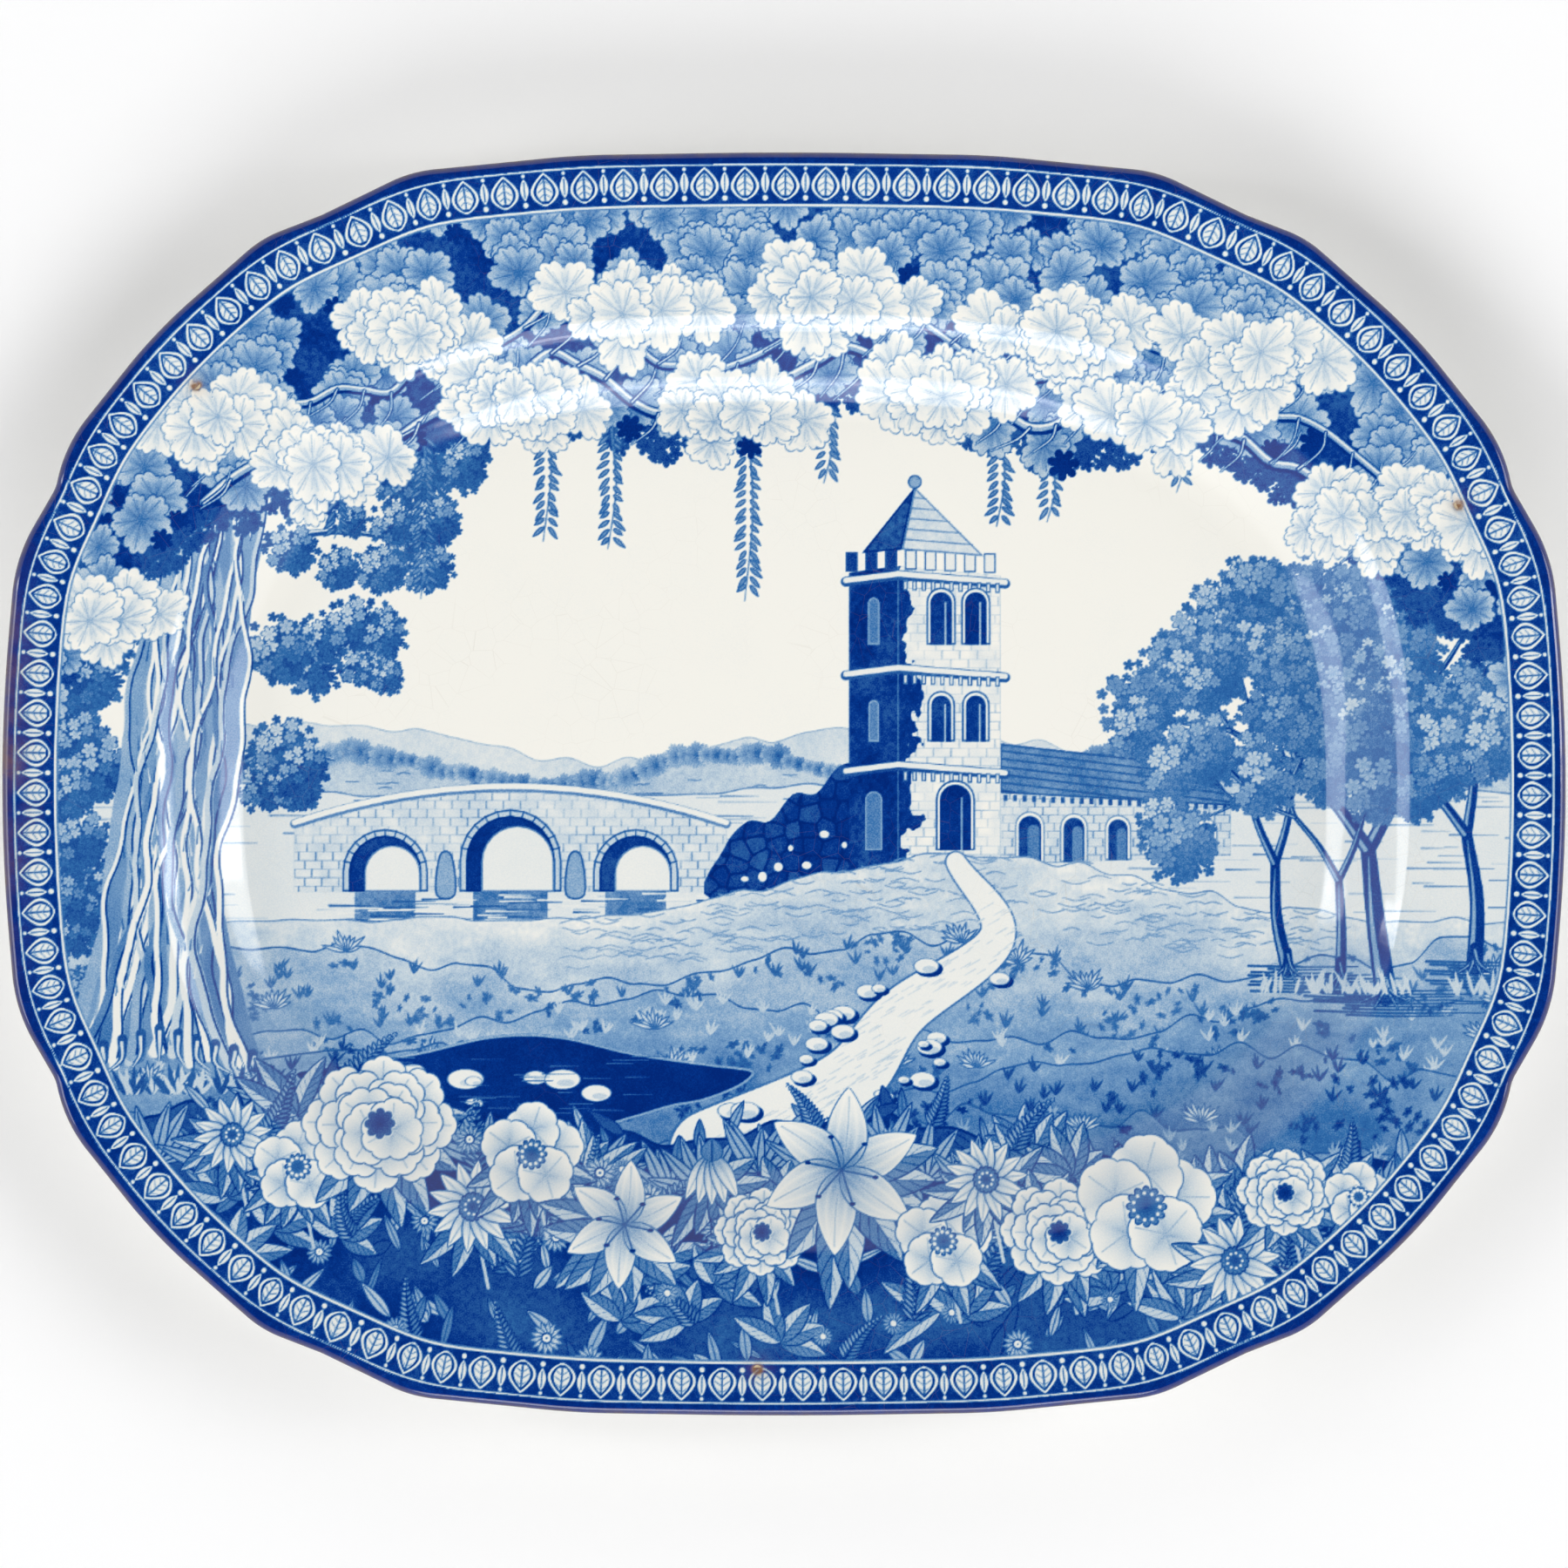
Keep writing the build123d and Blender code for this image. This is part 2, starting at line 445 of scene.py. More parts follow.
def round_arch(x, foot, width, height, tone, rim=None, rim_width=0.5):
    """An opening with a round head, standing on its foot."""
    half = width / 2
    spring = foot + height - half
    head = [(x + half * cos(a), spring + half * sin(a)) for a in np.linspace(0, pi, 13)]
    return fill([(x + half, foot), *head, (x - half, foot)], tone, rim, rim_width, sharp=True)


# ---- The picture, from the far ground forwards ----


def draw_hills():
    far = ridge(HORIZON + 16, 6, 170, 0.4, 2.5, 1)
    near = ridge(HORIZON + 7, 5, 120, 2.2, 2.0, 2)
    ground(far, mottled(0.14, 0.03), LIGHT, 0.35)
    ground(near, mottled(PALE + 0.04, 0.04), MID, 0.35)
    for x, y in scattered(150, flat(HORIZON - 6), near):
        lean = rng.uniform(-0.6, 0.6)
        stroke([(x - 2, y), (x, y + lean), (x + 2, y + lean / 3)], 0.35, MID, steps=3)
    for x in np.arange(-0.8 * FIELD_X, 0.9 * FIELD_X, 3.1):
        size = rng.uniform(2.4, 4.6)
        tone = rng.uniform(LIGHT, MID)
        rosette(x, near(x) + size * 0.2, size, 7, (tone + 0.2, tone - 0.1), 0.3, rng.uniform(0, 6), frill=0.2)


def draw_lake():
    shore = ridge(HORIZON + 2, 1.5, 90, 1.0, 0.8, 4)
    ground(shore, 0.09, MID, 0.5)
    for x, y in scattered(260, flat(SHORE), shore):
        long = rng.uniform(4, 20)
        stroke([(x, y), (x + long, y)], rng.uniform(0.3, 0.7), rng.uniform(PALE, MID), 0.2, sharp=True)


def draw_bridge():
    """A stone bridge of three round arches, with its reflection under it."""
    left, right = -0.68 * FIELD_X, -0.08 * FIELD_X
    middle, half = (left + right) / 2, (right - left) / 2
    foot = SHORE + 9
    crown = foot + 30
    top = [(middle + half * u, crown - 11 * u * u) for u in np.linspace(-1, 1, 15)]
    shape = fill([(left, foot), *top, (right, foot)], 0.1, MID, 0.4, sharp=True)
    masonry(*shape, 2.6, 5.2, 0.12, MID)
    for part, wide, high in ((-0.58, 22, 17), (0, 27, 23), (0.58, 22, 17)):
        x = middle + part * half
        round_arch(x, foot, wide + 4, high + 2, PALE, DEEP, 0.5)
        for a in np.linspace(0.25, pi - 0.25, 11):
            out = np.array([cos(a), sin(a)])
            spring = np.array([x, foot + high - wide / 2])
            stroke([spring + out * wide / 2, spring + out * (wide / 2 + 1.9)], 0.4, DEEP, sharp=True)
        round_arch(x, foot, wide, high, mottled(DARK - 0.08, 0.05), DARK, 0.5)
        round_arch(x + 2.2, foot, wide - 5, high - 3, 0.06, MID, 0.4)
        box(x - wide * 0.42, foot - 9, x + wide * 0.42, foot, mottled(MID, 0.08))
    for part in (-0.3, 0.3):
        x = middle + part * half
        fill([(x - 3, foot - 1), (x + 3, foot - 1), (x + 2, foot + 11), (x - 2, foot + 11)], LIGHT, DEEP, 0.5)
    stroke([(x, y + 1.6) for x, y in top], 2.8, MID)
    stroke([(x, y + 2.0) for x, y in top], 1.7, 0.04)
    for _ in range(60):
        x = rng.uniform(left, right)
        y = foot - rng.uniform(0.5, 10)
        stroke([(x, y), (x + rng.uniform(5, 14), y)], 0.6, rng.choice((0.05, DEEP)), 0.2, sharp=True)


def draw_tower():
    """A square stone tower seen on its corner, dark on the left and lit on the right."""
    foot = SHORE + 16
    top = foot + 92
    corner = KNOLL_X - 9
    left, right = corner - 15, corner + 31
    shaded = [(left, foot - 2), (corner, foot - 4), (corner, top), (left, top - 2)]
    lit = [(corner, foot - 4), (right, foot - 1), (right, top - 3), (corner, top)]
    fill(shaded, mottled(DARK - 0.1, 0.08), sharp=True)
    masonry(*fill(lit, 0.04, MID, 0.4, sharp=True), 2.7, 5.4, 0.05, LIGHT)
    # Shadow with a ragged edge, where ivy creeps round the corner.
    where, x, y = window(corner, foot - 4, corner + 14, top)
    creep = x - corner - 4 - 3.5 * grain(x, y, 6.0, 7) - 2.0 * grain(x, y, 1.6, 8)
    lay(where, creep, mottled(DARK - 0.08, 0.06)(x, y))
    for level in (0.34, 0.66, 0.97):
        height = foot + (top - foot) * level
        course = [(left - 1, height - 2), (corner, height), (right + 1.5, height - 2.6)]
        stroke(course, 3.0, DEEP, sharp=True)
        stroke([(x, y + 0.4) for x, y in course], 1.7, 0.05, sharp=True)
        for k in range(11):
            x = corner + 1.5 + 2.8 * k
            box(x, height - 4.6 - 0.08 * k, x + 1.3, height - 1.6 - 0.08 * k, 0.06, DEEP, 0.35)
    for level, high, wide in ((0.06, 20, 9.5), (0.42, 14, 6.0), (0.74, 16, 6.5)):
        height = foot + (top - foot) * level
        for part in ((0.56,) if level < 0.1 else (0.42, 0.76)):
            x = corner + (right - corner) * part
            round_arch(x, height, wide + 2.4, high + 1.4, 0.03, DEEP, 0.5)
            round_arch(x, height, wide, high, mottled(DARK - 0.06, 0.05))
            stroke([(x + wide * 0.2, height), (x + wide * 0.2, height + high * 0.8)], 0.5, PALE, sharp=True)
        round_arch((left + corner) / 2, height, wide * 0.55, high * 0.9, MID, LIGHT, 0.5)
    for k in range(8):
        x = left - 1 + (right - left + 2) * k / 8
        lift = 2.0 * (1 - abs(x - corner) / (right - left))
        tone = DARK - 0.12 if x < corner - 3 else 0.06
        box(x, top - 1 + lift - 2, x + 3.6, top + 5 + lift - 2, tone, DEEP, 0.4)
    # A low tiled roof behind the battlements, with a plain ball on it.
    peak = (corner + 5, top + 24)
    fill([(left + 4, top + 4), (corner + 1, top + 5), peak], mottled(DEEP, 0.1), DARK, 0.5, sharp=True)
    fill([(corner + 1, top + 5), (right - 5, top + 3), peak], mottled(0.16, 0.05), MID, 0.5, sharp=True)
    for part in np.arange(1, 6) / 6:
        start = (corner + 1 + 4 * part, top + 5 + 19 * part)
        end = (right - 5 - (right - 10 - corner) * part, top + 3 + 21 * part)
        stroke([start, end], 0.4, MID, sharp=True)
    disc(peak[0], peak[1] + 1.6, 1.9, LIGHT, rim=DEEP)


def draw_hall():
    """A long hall with a tiled roof and an arcade, that runs off behind the tower."""
    left, right = KNOLL_X + 22, KNOLL_X + 92
    foot, eaves, top = SHORE + 17, SHORE + 39, SHORE + 54
    wall = [(left, foot), (right, foot + 3), (right, eaves - 3), (left, eaves)]
    masonry(*fill(wall, 0.1, MID, 0.4, sharp=True), 2.4, 4.6, 0.14, MID)
    roof = [(left, eaves), (right + 2, eaves - 4), (right - 7, top - 7), (left, top)]
    where, x, y, distance = fill(roof, mottled(MID, 0.06), DEEP, 0.5, sharp=True)
    lay(where, np.maximum(distance, np.abs((y + 0.12 * x) % 2.4 - 1.2) - 0.25), DEEP)
    for k in range(5):
        x = left + 9 + 13.4 * k
        lift = 0.043 * (x - left)
        round_arch(x, foot + lift, 9.0 - 0.5 * k, 16 - 1.1 * k, 0.03, MID, 0.4)
        round_arch(x, foot + lift, 6.8 - 0.5 * k, 14.6 - 1.1 * k, mottled(DARK - 0.1, 0.06))
        round_arch(x + 1.1, foot + lift, 3.6 - 0.3 * k, 12 - 1.1 * k, MID)
    for k in range(24):
        x = left + 1 + 2.9 * k
        box(x, eaves - 2.4 - 0.12 * k, x + 1.2, eaves - 0.6 - 0.12 * k, DEEP)


def draw_ruin():
    """A broken wall of rough stone on the dark side of the tower."""
    right = KNOLL_X - 20
    foot = SHORE + 10
    broken = [(right - 42 + 7 * k, foot + 12 + 4.2 * k + 4 * (k % 2)) for k in range(7)]
    shape = fill([(right - 45, foot - 4), *broken, (right + 6, foot + 30), (right + 8, foot - 6)], DARK)
    rubble(*shape, 5.4, DARK - 0.14, 1.05, 4)
    for k in range(9):
        x = right - 36 + 5 * k + rng.uniform(-1, 1)
        y = foot + rng.uniform(2, 6 + 3 * k)
        disc(x, y, rng.uniform(0.8, 1.7), 0.04, rng.uniform(0.6, 1.3))


def knoll(x):
    """The rise that the tower stands on."""
    rise = KNOLL_RISE * np.exp(-(((x - KNOLL_X - 12) / KNOLL_SPREAD) ** 2))
    return SHORE + rise + 2.2 * grain(x, 0 * x, 8.0, 9)


def fold_tone(line, lit, shaded, depth):
    """Ground that is lit along its crest and falls into shade below it, with drifts of grass."""
    def tone(x, y):
        below = np.clip((line(x) - y) / depth, 0, 1)
        drift = 0.07 * grain(x, 2.2 * y, 26.0, 15) + 0.05 * grain(x, 2.5 * y, 7.0, 16)
        return lit + (shaded - lit) * below**0.8 + drift + 0.04 * grain(x, y, 1.1)
    return tone


def draw_meadow():
    ground(knoll, fold_tone(knoll, 0.1, PALE + 0.12, 34), MID, 0.4)
    middle = ridge(SHORE - 9, 6, 230, 0.3, 3, 12)
    for x, y in scattered(260, middle, knoll, KNOLL_X - 110, KNOLL_X + 130):
        long = rng.uniform(2, 4.5)
        lift = rng.choice((-1, 1)) * long * 0.25
        stroke([(x - long, y), (x, y + lift), (x + long, y)], 0.4, LIGHT + 0.06, steps=3)
    folds = (
        (0, PALE + 0.04, LIGHT + 0.08),
        (17, PALE + 0.16, MID - 0.03),
        (34, LIGHT + 0.07, MID + 0.06),
        (52, LIGHT + 0.12, MID + 0.11),
    )
    for k, (drop, lit, shaded) in enumerate(folds):
        line = ridge(SHORE - 12 - drop, 6.5, 190 + 25 * k, 1.9 * k + 0.6, 4.0, 20 + k)
        below = ridge(SHORE - 38 - drop, 6.5, 190 + 25 * k, 1.9 * k + 0.6)
        ground(line, fold_tone(line, lit, shaded, 26), DEEP, 0.5)
        for x, y in scattered(620, below, line):
            if grain(np.float64(x), np.float64(2.4 * y), 15.0, 17) < 0.02:
                continue
            size = rng.uniform(1.1, 2.6)
            rosette(x, y, size, 5, (shaded + 0.26, shaded + 0.14), 0.7, rng.uniform(0, 6), squash=0.55)
        grass = lit - 0.14 if k % 2 else shaded + 0.2
        for x, y in scattered(110, below, line):
            for lean in (55, 75, 95, 118):
                blade(x, y, rng.uniform(2.8, 5.4), 0.8, lean + rng.uniform(-9, 9), grass)
        for x, y in scattered(12, below, line):
            for lean in range(20, 170, 18):
                blade(x, y, rng.uniform(5, 8), 1.5, lean, LIGHT - 0.2, rim=DEEP)


def draw_path():
    """A pale path that winds down from the tower's door, with stones beside it."""
    route = [
        (KNOLL_X + 8.5, SHORE + 18),
        (KNOLL_X + 21, SHORE - 5),
        (KNOLL_X - 8, SHORE - 28),
        (KNOLL_X - 26, SHORE - 50),
        (KNOLL_X - 66, SHORE - 70),
    ]
    stroke(route, 6.8, MID + 0.08, 26.5, steps=24)
    stroke(route, 5.8, 0.04, 24.8, steps=24)
    line = curve(route, closed=False, steps=24)
    for _ in range(150):
        x, y = line[rng.integers(8, len(line))]
        spread = rng.uniform(-9, 9)
        long = rng.uniform(2, 6)
        stroke([(x + spread, y), (x + spread - long * 0.7, y - long * 0.4)], 0.4, PALE, 0.2, sharp=True)
    for _ in range(26):
        x, y = line[rng.integers(30, len(line))]
        x += rng.choice((-1, 1)) * rng.uniform(13, 24)
        size = rng.uniform(1.6, 4.4)
        disc(x + 0.9, y - 0.9, size * 1.1, DARK, 0.6)
        disc(x, y, size, 0.05, 0.6, rim=MID)
        disc(x + size * 0.25, y - size * 0.25, size * 0.55, PALE, 0.5)


def draw_pool():
    """Dark still water in the near meadow, with lit stones."""
    centre_x, centre_y = -0.36 * FIELD_X, SHORE - 50
    shape = [
        (centre_x + (66 + 9 * sin(3 * a)) * cos(a), centre_y + (13 + 3 * cos(4 * a)) * sin(a))
        for a in np.linspace(0, 2 * pi, 18, endpoint=False)
    ]
    fill(shape, mottled(DARK, 0.03), LIGHT, 0.8)
    for _ in range(8):
        x = centre_x + rng.uniform(-48, 48)
        y = centre_y + rng.uniform(-7, 7)
        size = rng.uniform(2.5, 5.5)
        disc(x, y, size, 0.04, 0.55, rim=MID)
        disc(x + 1, y - size * 0.2, size * 0.5, PALE, 0.4)
    for _ in range(40):
        x = centre_x + rng.uniform(-52, 40)
        y = centre_y + rng.uniform(-9, 9)
        stroke([(x, y), (x + rng.uniform(4, 11), y)], 0.4, DEEP - 0.1, 0.2, sharp=True)


def foliage(x, y, size, dark, pale, count=16):
    """A round clump of small leaves, lit from the upper left, with a ragged edge."""
    turn = rng.uniform(0, 6)
    rosette(x + size * 0.12, y - size * 0.15, size * 0.9, 9, (dark, dark), 0.35, turn, frill=0.25)
    for k in range(count):
        a = 2 * pi * k / count + rng.uniform(-0.2, 0.2)
        away = size * rng.uniform(0.86, 1.12)
        tone = dark - 0.12 * rng.random()
        rosette(x + away * cos(a), y + away * sin(a), size * 0.17, 5, (tone, tone), 0.6, rng.uniform(0, 6))
    for k in range(count):
        spread = size * 0.86 * np.sqrt((k + 0.5) / count)
        a = 2.4 * k + rng.uniform(-0.3, 0.3)
        lit = 0.5 + 0.5 * cos(a - 2.2)
        tone = dark + (pale - dark) * (0.2 + 0.8 * lit)
        leaf_x, leaf_y = x + spread * cos(a), y + spread * sin(a)
        rosette(leaf_x, leaf_y, size * 0.27, 6, (tone + 0.12, tone), 0.6, rng.uniform(0, 6), rim=dark)


def grow(x, y, length, angle, width, depth, tips):
    """A branch that forks, and the list of where its twigs end."""
    bend = rng.uniform(-14, 14)
    a, b = radians(angle), radians(angle + bend)
    middle = (x + length * 0.5 * cos(a), y + length * 0.5 * sin(a))
    end = (middle[0] + length * 0.5 * cos(b), middle[1] + length * 0.5 * sin(b))
    stroke([(x, y), middle, end], width, DEEP + 0.1, width * 0.66)
    stroke([(x - width * 0.2, y), (middle[0] - width * 0.18, middle[1]), end], width * 0.34, LIGHT, 0.2)
    if depth == 0:
        tips.append(end)
        return
    for side in (-1, 1):
        spread = angle + bend + side * rng.uniform(16, 36)
        grow(*end, length * rng.uniform(0.66, 0.84), spread, width * 0.64, depth - 1, tips)


def draw_right_trees():
    """A stand of forked trees, leafed over, with the lake behind their trunks."""
    foot = SHORE - 18
    tips = []
    feet = []
    trunks = ((0.83, 44, 97, 6.5), (0.7, 33, 102, 4.2), (0.95, 40, 88, 5.0), (0.77, 30, 88, 3.4))
    for part, tall, lean, wide in trunks:
        x, y = part * FIELD_X, foot + rng.uniform(-5, 5)
        feet.append((x, y, wide))
        grow(x, y, tall, lean, wide, 4, tips)
    for _ in range(46):
        a = rng.uniform(0, 2 * pi)
        reach = np.sqrt(rng.random())
        tips.append((0.86 * FIELD_X + 42 * reach * cos(a), foot + 92 + 38 * reach * sin(a)))
    tips.sort(key=lambda tip: -tip[1])
    for k, (x, y) in enumerate(tips):
        if abs(x) < FIELD_X + 4:
            foliage(x, y, rng.uniform(6.5, 11), MID + 0.12, PALE - 0.04 + 0.12 * (k % 3))
    # Each trunk stands on spread roots, in a patch of hatched shade.
    for x, y, wide in feet:
        for k in range(9):
            reach = wide * (2.3 + 0.9 * sin(2.1 * k + x))
            level = y + 1.5 - 0.95 * k
            line = [(x - reach, level), (x + 0.3 * reach, level - 0.3), (x + 1.7 * reach, level)]
            stroke(line, 0.75, DEEP, 0.3)
        for side in (-1, -0.45, 0.45, 1):
            tip = (x + 1.25 * side * wide, y - 2.5 - wide * (1 - abs(side)) * 0.5)
            stroke([(x, y + 6), (x + 0.35 * side * wide, y + 0.5), tip], wide * 0.5, DEEP + 0.1, 0.5)
            stroke([(x, y + 5), (x + 0.3 * side * wide, y + 0.8), tip], wide * 0.14, LIGHT, 0.2)
    for part, *_ in trunks:
        for _ in range(14):
            x = part * FIELD_X + rng.uniform(-9, 9)
            blade(x, foot - 4, rng.uniform(4, 9), 1.2, rng.uniform(60, 120), PALE)


def draw_left_tree():
    """A great trunk of twisted ribs up the left side, with its roots and its leaves."""
    foot, top = SHORE - 38, 0.72 * FIELD_Y
    base = -0.86 * FIELD_X
    heights = np.linspace(0, 1, 34)

    def middle(part):
        """Where the trunk's middle is at a part of its height: it leans in as it rises."""
        return base + 22 * part**1.6

    for _ in range(44):
        y = foot + 8 + (top - foot) * rng.random()
        foliage(base - rng.uniform(14, 34), y, rng.uniform(6, 10), DEEP, PALE, 12)

    # Boughs that leave the trunk and carry leaves over the water.
    for level, long in ((0.42, 34), (0.58, 44), (0.74, 52), (0.88, 56)):
        x = middle(level) + 12
        y = foot + (top - foot) * level
        stroke([(x, y), (x + long * 0.5, y + 5), (x + long, y + 1)], 3.0, DEEP, 0.8)
        stroke([(x, y + 0.5), (x + long * 0.5, y + 5.5), (x + long, y + 1.2)], 1.0, 0.1, 0.3)
        for _ in range(int(long / 4)):
            leaf_x = x + long * rng.uniform(0.25, 1.1)
            foliage(leaf_x, y + rng.uniform(-8, 10), rng.uniform(5, 9.5), DEEP, PALE - 0.06, 13)

    def rib(part, sway, phase):
        flare = 17 * np.exp(-heights * 8) * part
        twist = np.sin(5.5 * heights + phase) + 0.4 * np.sin(13 * heights + 2.3 * phase)
        twist = twist + 0.2 * np.sin(31 * heights + 1.3 * phase) + 0.12 * np.sin(57 * heights + 3.1 * phase)
        x = middle(heights) + 12 * part + flare + sway * twist
        y = foot + (top - foot) * heights - 9 * np.exp(-heights * 12) * np.abs(part)
        return list(zip(x, y))

    for k, part in enumerate(np.linspace(-1, 1, 9)):
        stroke(rib(part, 2.0, part * 3), 6.4, LIGHT + 0.09 * (k % 3), 5.0)
    for k, part in enumerate(np.linspace(-1, 0.97, 19)):
        stroke(rib(0.82 * part, 4.2, 1.7 * k), 6.0, LIGHT + 0.07 * (k % 4), 4.4)
    for k, part in enumerate(np.linspace(-1, 0.97, 19)):
        tone = (0.03, LIGHT, 0.06, MID, 0.03, PALE)[k % 6]
        stroke(rib(part, 4.2, 1.7 * k), rng.uniform(1.6, 3.6), tone, 1.0)
        stroke(rib(part + 0.05, 4.2, 1.7 * k), 0.5, DARK, 0.4)
    for _ in range(150):
        y = rng.uniform(foot, top)
        x = middle((y - foot) / (top - foot)) + rng.uniform(-14, 13)
        tone = rng.choice((MID, DEEP, 0.05))
        stroke([(x, y), (x + rng.uniform(-1, 1), y + rng.uniform(2, 6))], 0.45, tone, 0.2, sharp=True)
    for part in np.linspace(-1, 1, 11):
        x = base + 28 * part
        y = foot - 8 * abs(part)
        stroke([(x * 0.98 + base * 0.02, y + 6), (x, y), (x + 11 * part, y - 4)], 3.0, DEEP, 0.5)
        stroke([(x, y + 5), (x, y), (x + 11 * part, y - 4)], 1.1, 0.12, 0.3)
    for _ in range(40):
        x = base + rng.uniform(-34, 36)
        for lean in (55, 80, 100, 125):
            blade(x, foot - 14, rng.uniform(5, 10), 1.4, lean + rng.uniform(-9, 9), rng.choice((PALE, DEEP)))


def canopy_floor(x):
    """The lower edge of the leaves that hang over the sky."""
    sag = CANOPY_SAG * np.abs(x / FIELD_X) ** 3.6
    return CANOPY - sag + 6 * np.sin(x / 17) + 4 * grain(x, 0 * x, 7.0, 14)


def oak_leaf(x, y, size, turn, white):
    """A broad leaf of five uneven, scalloped lobes with its veins: a lit one, or one in shade."""
    where, radius, angle = polar(x, y, size * 1.1, 0.86, turn)
    lobe = np.abs(np.cos(2.5 * angle)) ** 0.5
    scallop = np.abs(np.cos(8.5 * angle + 0.6)) ** 0.7
    uneven = 1 + 0.12 * np.sin(angle + 3 * turn) + 0.07 * np.sin(2 * angle + turn)
    rim_line = size * (0.56 + 0.32 * lobe + 0.12 * scallop) * uneven
    part = np.clip(radius / rim_line, 0, 1)
    hollow = (1 - lobe) * (1 - part * 0.4)
    if white:
        tone = 0.2 * (1 - part) ** 2 + 0.22 * hollow + 0.02 * grain(x + radius, y + angle, 1.0)
        rim, vein = MID, LIGHT
    else:
        tone = PALE + 0.03 + 0.34 * (1 - part) ** 1.4 + 0.26 * hollow
        rim, vein = DEEP + 0.06, MID + 0.06
    lay(where, radius - rim_line, tone)
    rib = np.abs(np.sin(2.5 * angle)) * radius * 0.4
    lay(where, np.maximum(rib - 0.24, radius - rim_line * 0.86), vein, 0.85)
    twig = np.abs(np.abs(np.sin(5 * angle)) * radius * 0.2 - 0.12 * radius) - 0.16
    lay(where, np.maximum(np.maximum(twig, radius - rim_line * 0.72), rim_line * 0.34 - radius), vein, 0.5)
    lay(where, np.abs(radius - rim_line) - 0.24, rim, 0.9)


def draw_canopy():
    """The leaves, branches and lit clusters that hang over the sky."""
    where, x, y = window(-HALF_X, 0, HALF_X, HALF_Y)
    lay(where, canopy_floor(x) - y, mottled(DEEP + 0.08, 0.08)(x, y))
    # A fringe of small dark sprigs under the leaves, and thin leafy twigs that droop from it.
    for x in np.arange(-FIELD_X, FIELD_X, 0.62):
        y = canopy_floor(x) + rng.uniform(-5.5, 3)
        rosette(x, y, rng.uniform(1.5, 2.9), 5, (DARK - 0.1, DEEP), 0.7, rng.uniform(0, 6))
    for part in (-0.62, -0.5, -0.33, -0.24, -0.05, 0.06, 0.3, 0.37, 0.55):
        x, y = part * FIELD_X, canopy_floor(part * FIELD_X)
        long = rng.uniform(16, 56)
        stroke([(x, y), (x + 1.5, y - long / 2), (x - 1, y - long)], 0.9, MID, 0.4)
        for k in range(int(long / 2.6)):
            for side in (-1, 1):
                slope = -90 + side * rng.uniform(32, 58)
                blade(x + 0.6 * side, y - 2.6 * k, rng.uniform(3.4, 5.2), 1.5, slope, MID - 0.06, rim=DEEP)
    for x, y in scattered(760, flat(0), flat(HALF_Y - 8), -HALF_X + 8, HALF_X - 8):
        if y > canopy_floor(x) + 2:
            oak_leaf(x, y, rng.uniform(7.0, 10.5), rng.uniform(0, 6), False)
            if rng.random() < 0.3:
                rosette(x + 6, y - 6, rng.uniform(3, 5), 7, (DARK, DARK), 0.5, rng.uniform(0, 6))
    # Branches, dark below and lit above.
    for drop, wide in ((9, 3.6), (23, 2.8)):
        places = np.linspace(-0.8, 0.82, 45) * FIELD_X
        line = [(x, canopy_floor(x) + drop + 4 * sin(x / 13) + rng.uniform(-1.9, 1.9)) for x in places]
        for lift, share, tone in ((0, 1, DARK), (0.12, 0.6, LIGHT), (0.24, 0.2, 0.05)):
            stroke([(x, y + wide * lift) for x, y in line], wide * share, tone)
        for x, y in line:
            side = rng.choice((-1, 1))
            tip = (x + rng.uniform(5, 12) * side, y + rng.uniform(6, 15) * side)
            twig = [(x, y), ((x + tip[0]) / 2 + 2, (y + tip[1]) / 2), tip]
            stroke(twig, wide * 0.4, DARK, 0.7)
            stroke(twig, wide * 0.16, 0.1, 0.3)
    # Lit clusters hang along the arch, larger towards the middle.
    for k, part in enumerate(np.linspace(-0.93, 0.94, 14)):
        x = part * FIELD_X + rng.uniform(-5, 5)
        y = canopy_floor(x) + (6, 33)[k % 2] + rng.uniform(-4, 4)
        reach = rng.uniform(10, 14.5)
        leaves = 8 + k % 5
        for m in range(leaves):
            a = 2.4 * m + rng.uniform(-0.4, 0.4)
            spread = reach * (1.25 - 1.1 * m / leaves)
            leaf_x, leaf_y = x + 1.45 * spread * cos(a), y + 0.72 * spread * sin(a)
            oak_leaf(leaf_x, leaf_y, rng.uniform(8.2, 11.8), rng.uniform(0, 6), True)


# ---- The bank of flowers ----


def petal_tone(t, v):
    """A white petal, shaded at its root and along its ribs."""
    return np.clip(0.42 * (1 - t) ** 2.2 + 0.16 * np.abs(np.sin(7 * v)) * (1 - t), 0, 1)


def leaf_tone(t, v):
    """A veined leaf, lit on one side of its rib."""
    veins = np.abs(np.sin(22 * t - 5 * np.abs(v))) < 0.2
    return np.where(v > 0, PALE, MID) + 0.28 * veins


def wild_rose(x, y, size):
    tones = (0.3, 0.0)
    for px, py, a in around(x, y, size * 0.5, 5, 1.257, 0.3):
        rosette(px, py, size * 0.58, 3, tones, 0.1, a - 0.3, rim=DEEP, vein=LIGHT, frill=0.06)
    rosette(x, y, size * 0.3, 12, (DEEP, MID), 0.3, rim=DARK)
    for px, py, _ in around(x, y, size * 0.2, 11, 0.57):
        disc(px, py, 0.55, 0.04)


def full_rose(x, y, size):
    tones = (0.36, 0.0)
    for ring, count in ((0.62, 8), (0.42, 6), (0.2, 4)):
        for px, py, a in around(x, y, size * ring, count, 2 * pi / count, ring * 5, 0.8):
            rosette(px, py, size * 0.44, 3, tones, 0.14, a, rim=DEEP, vein=LIGHT, frill=0.1)
    rosette(x, y, size * 0.22, 8, (DARK, DEEP), 0.3, rim=0.05)


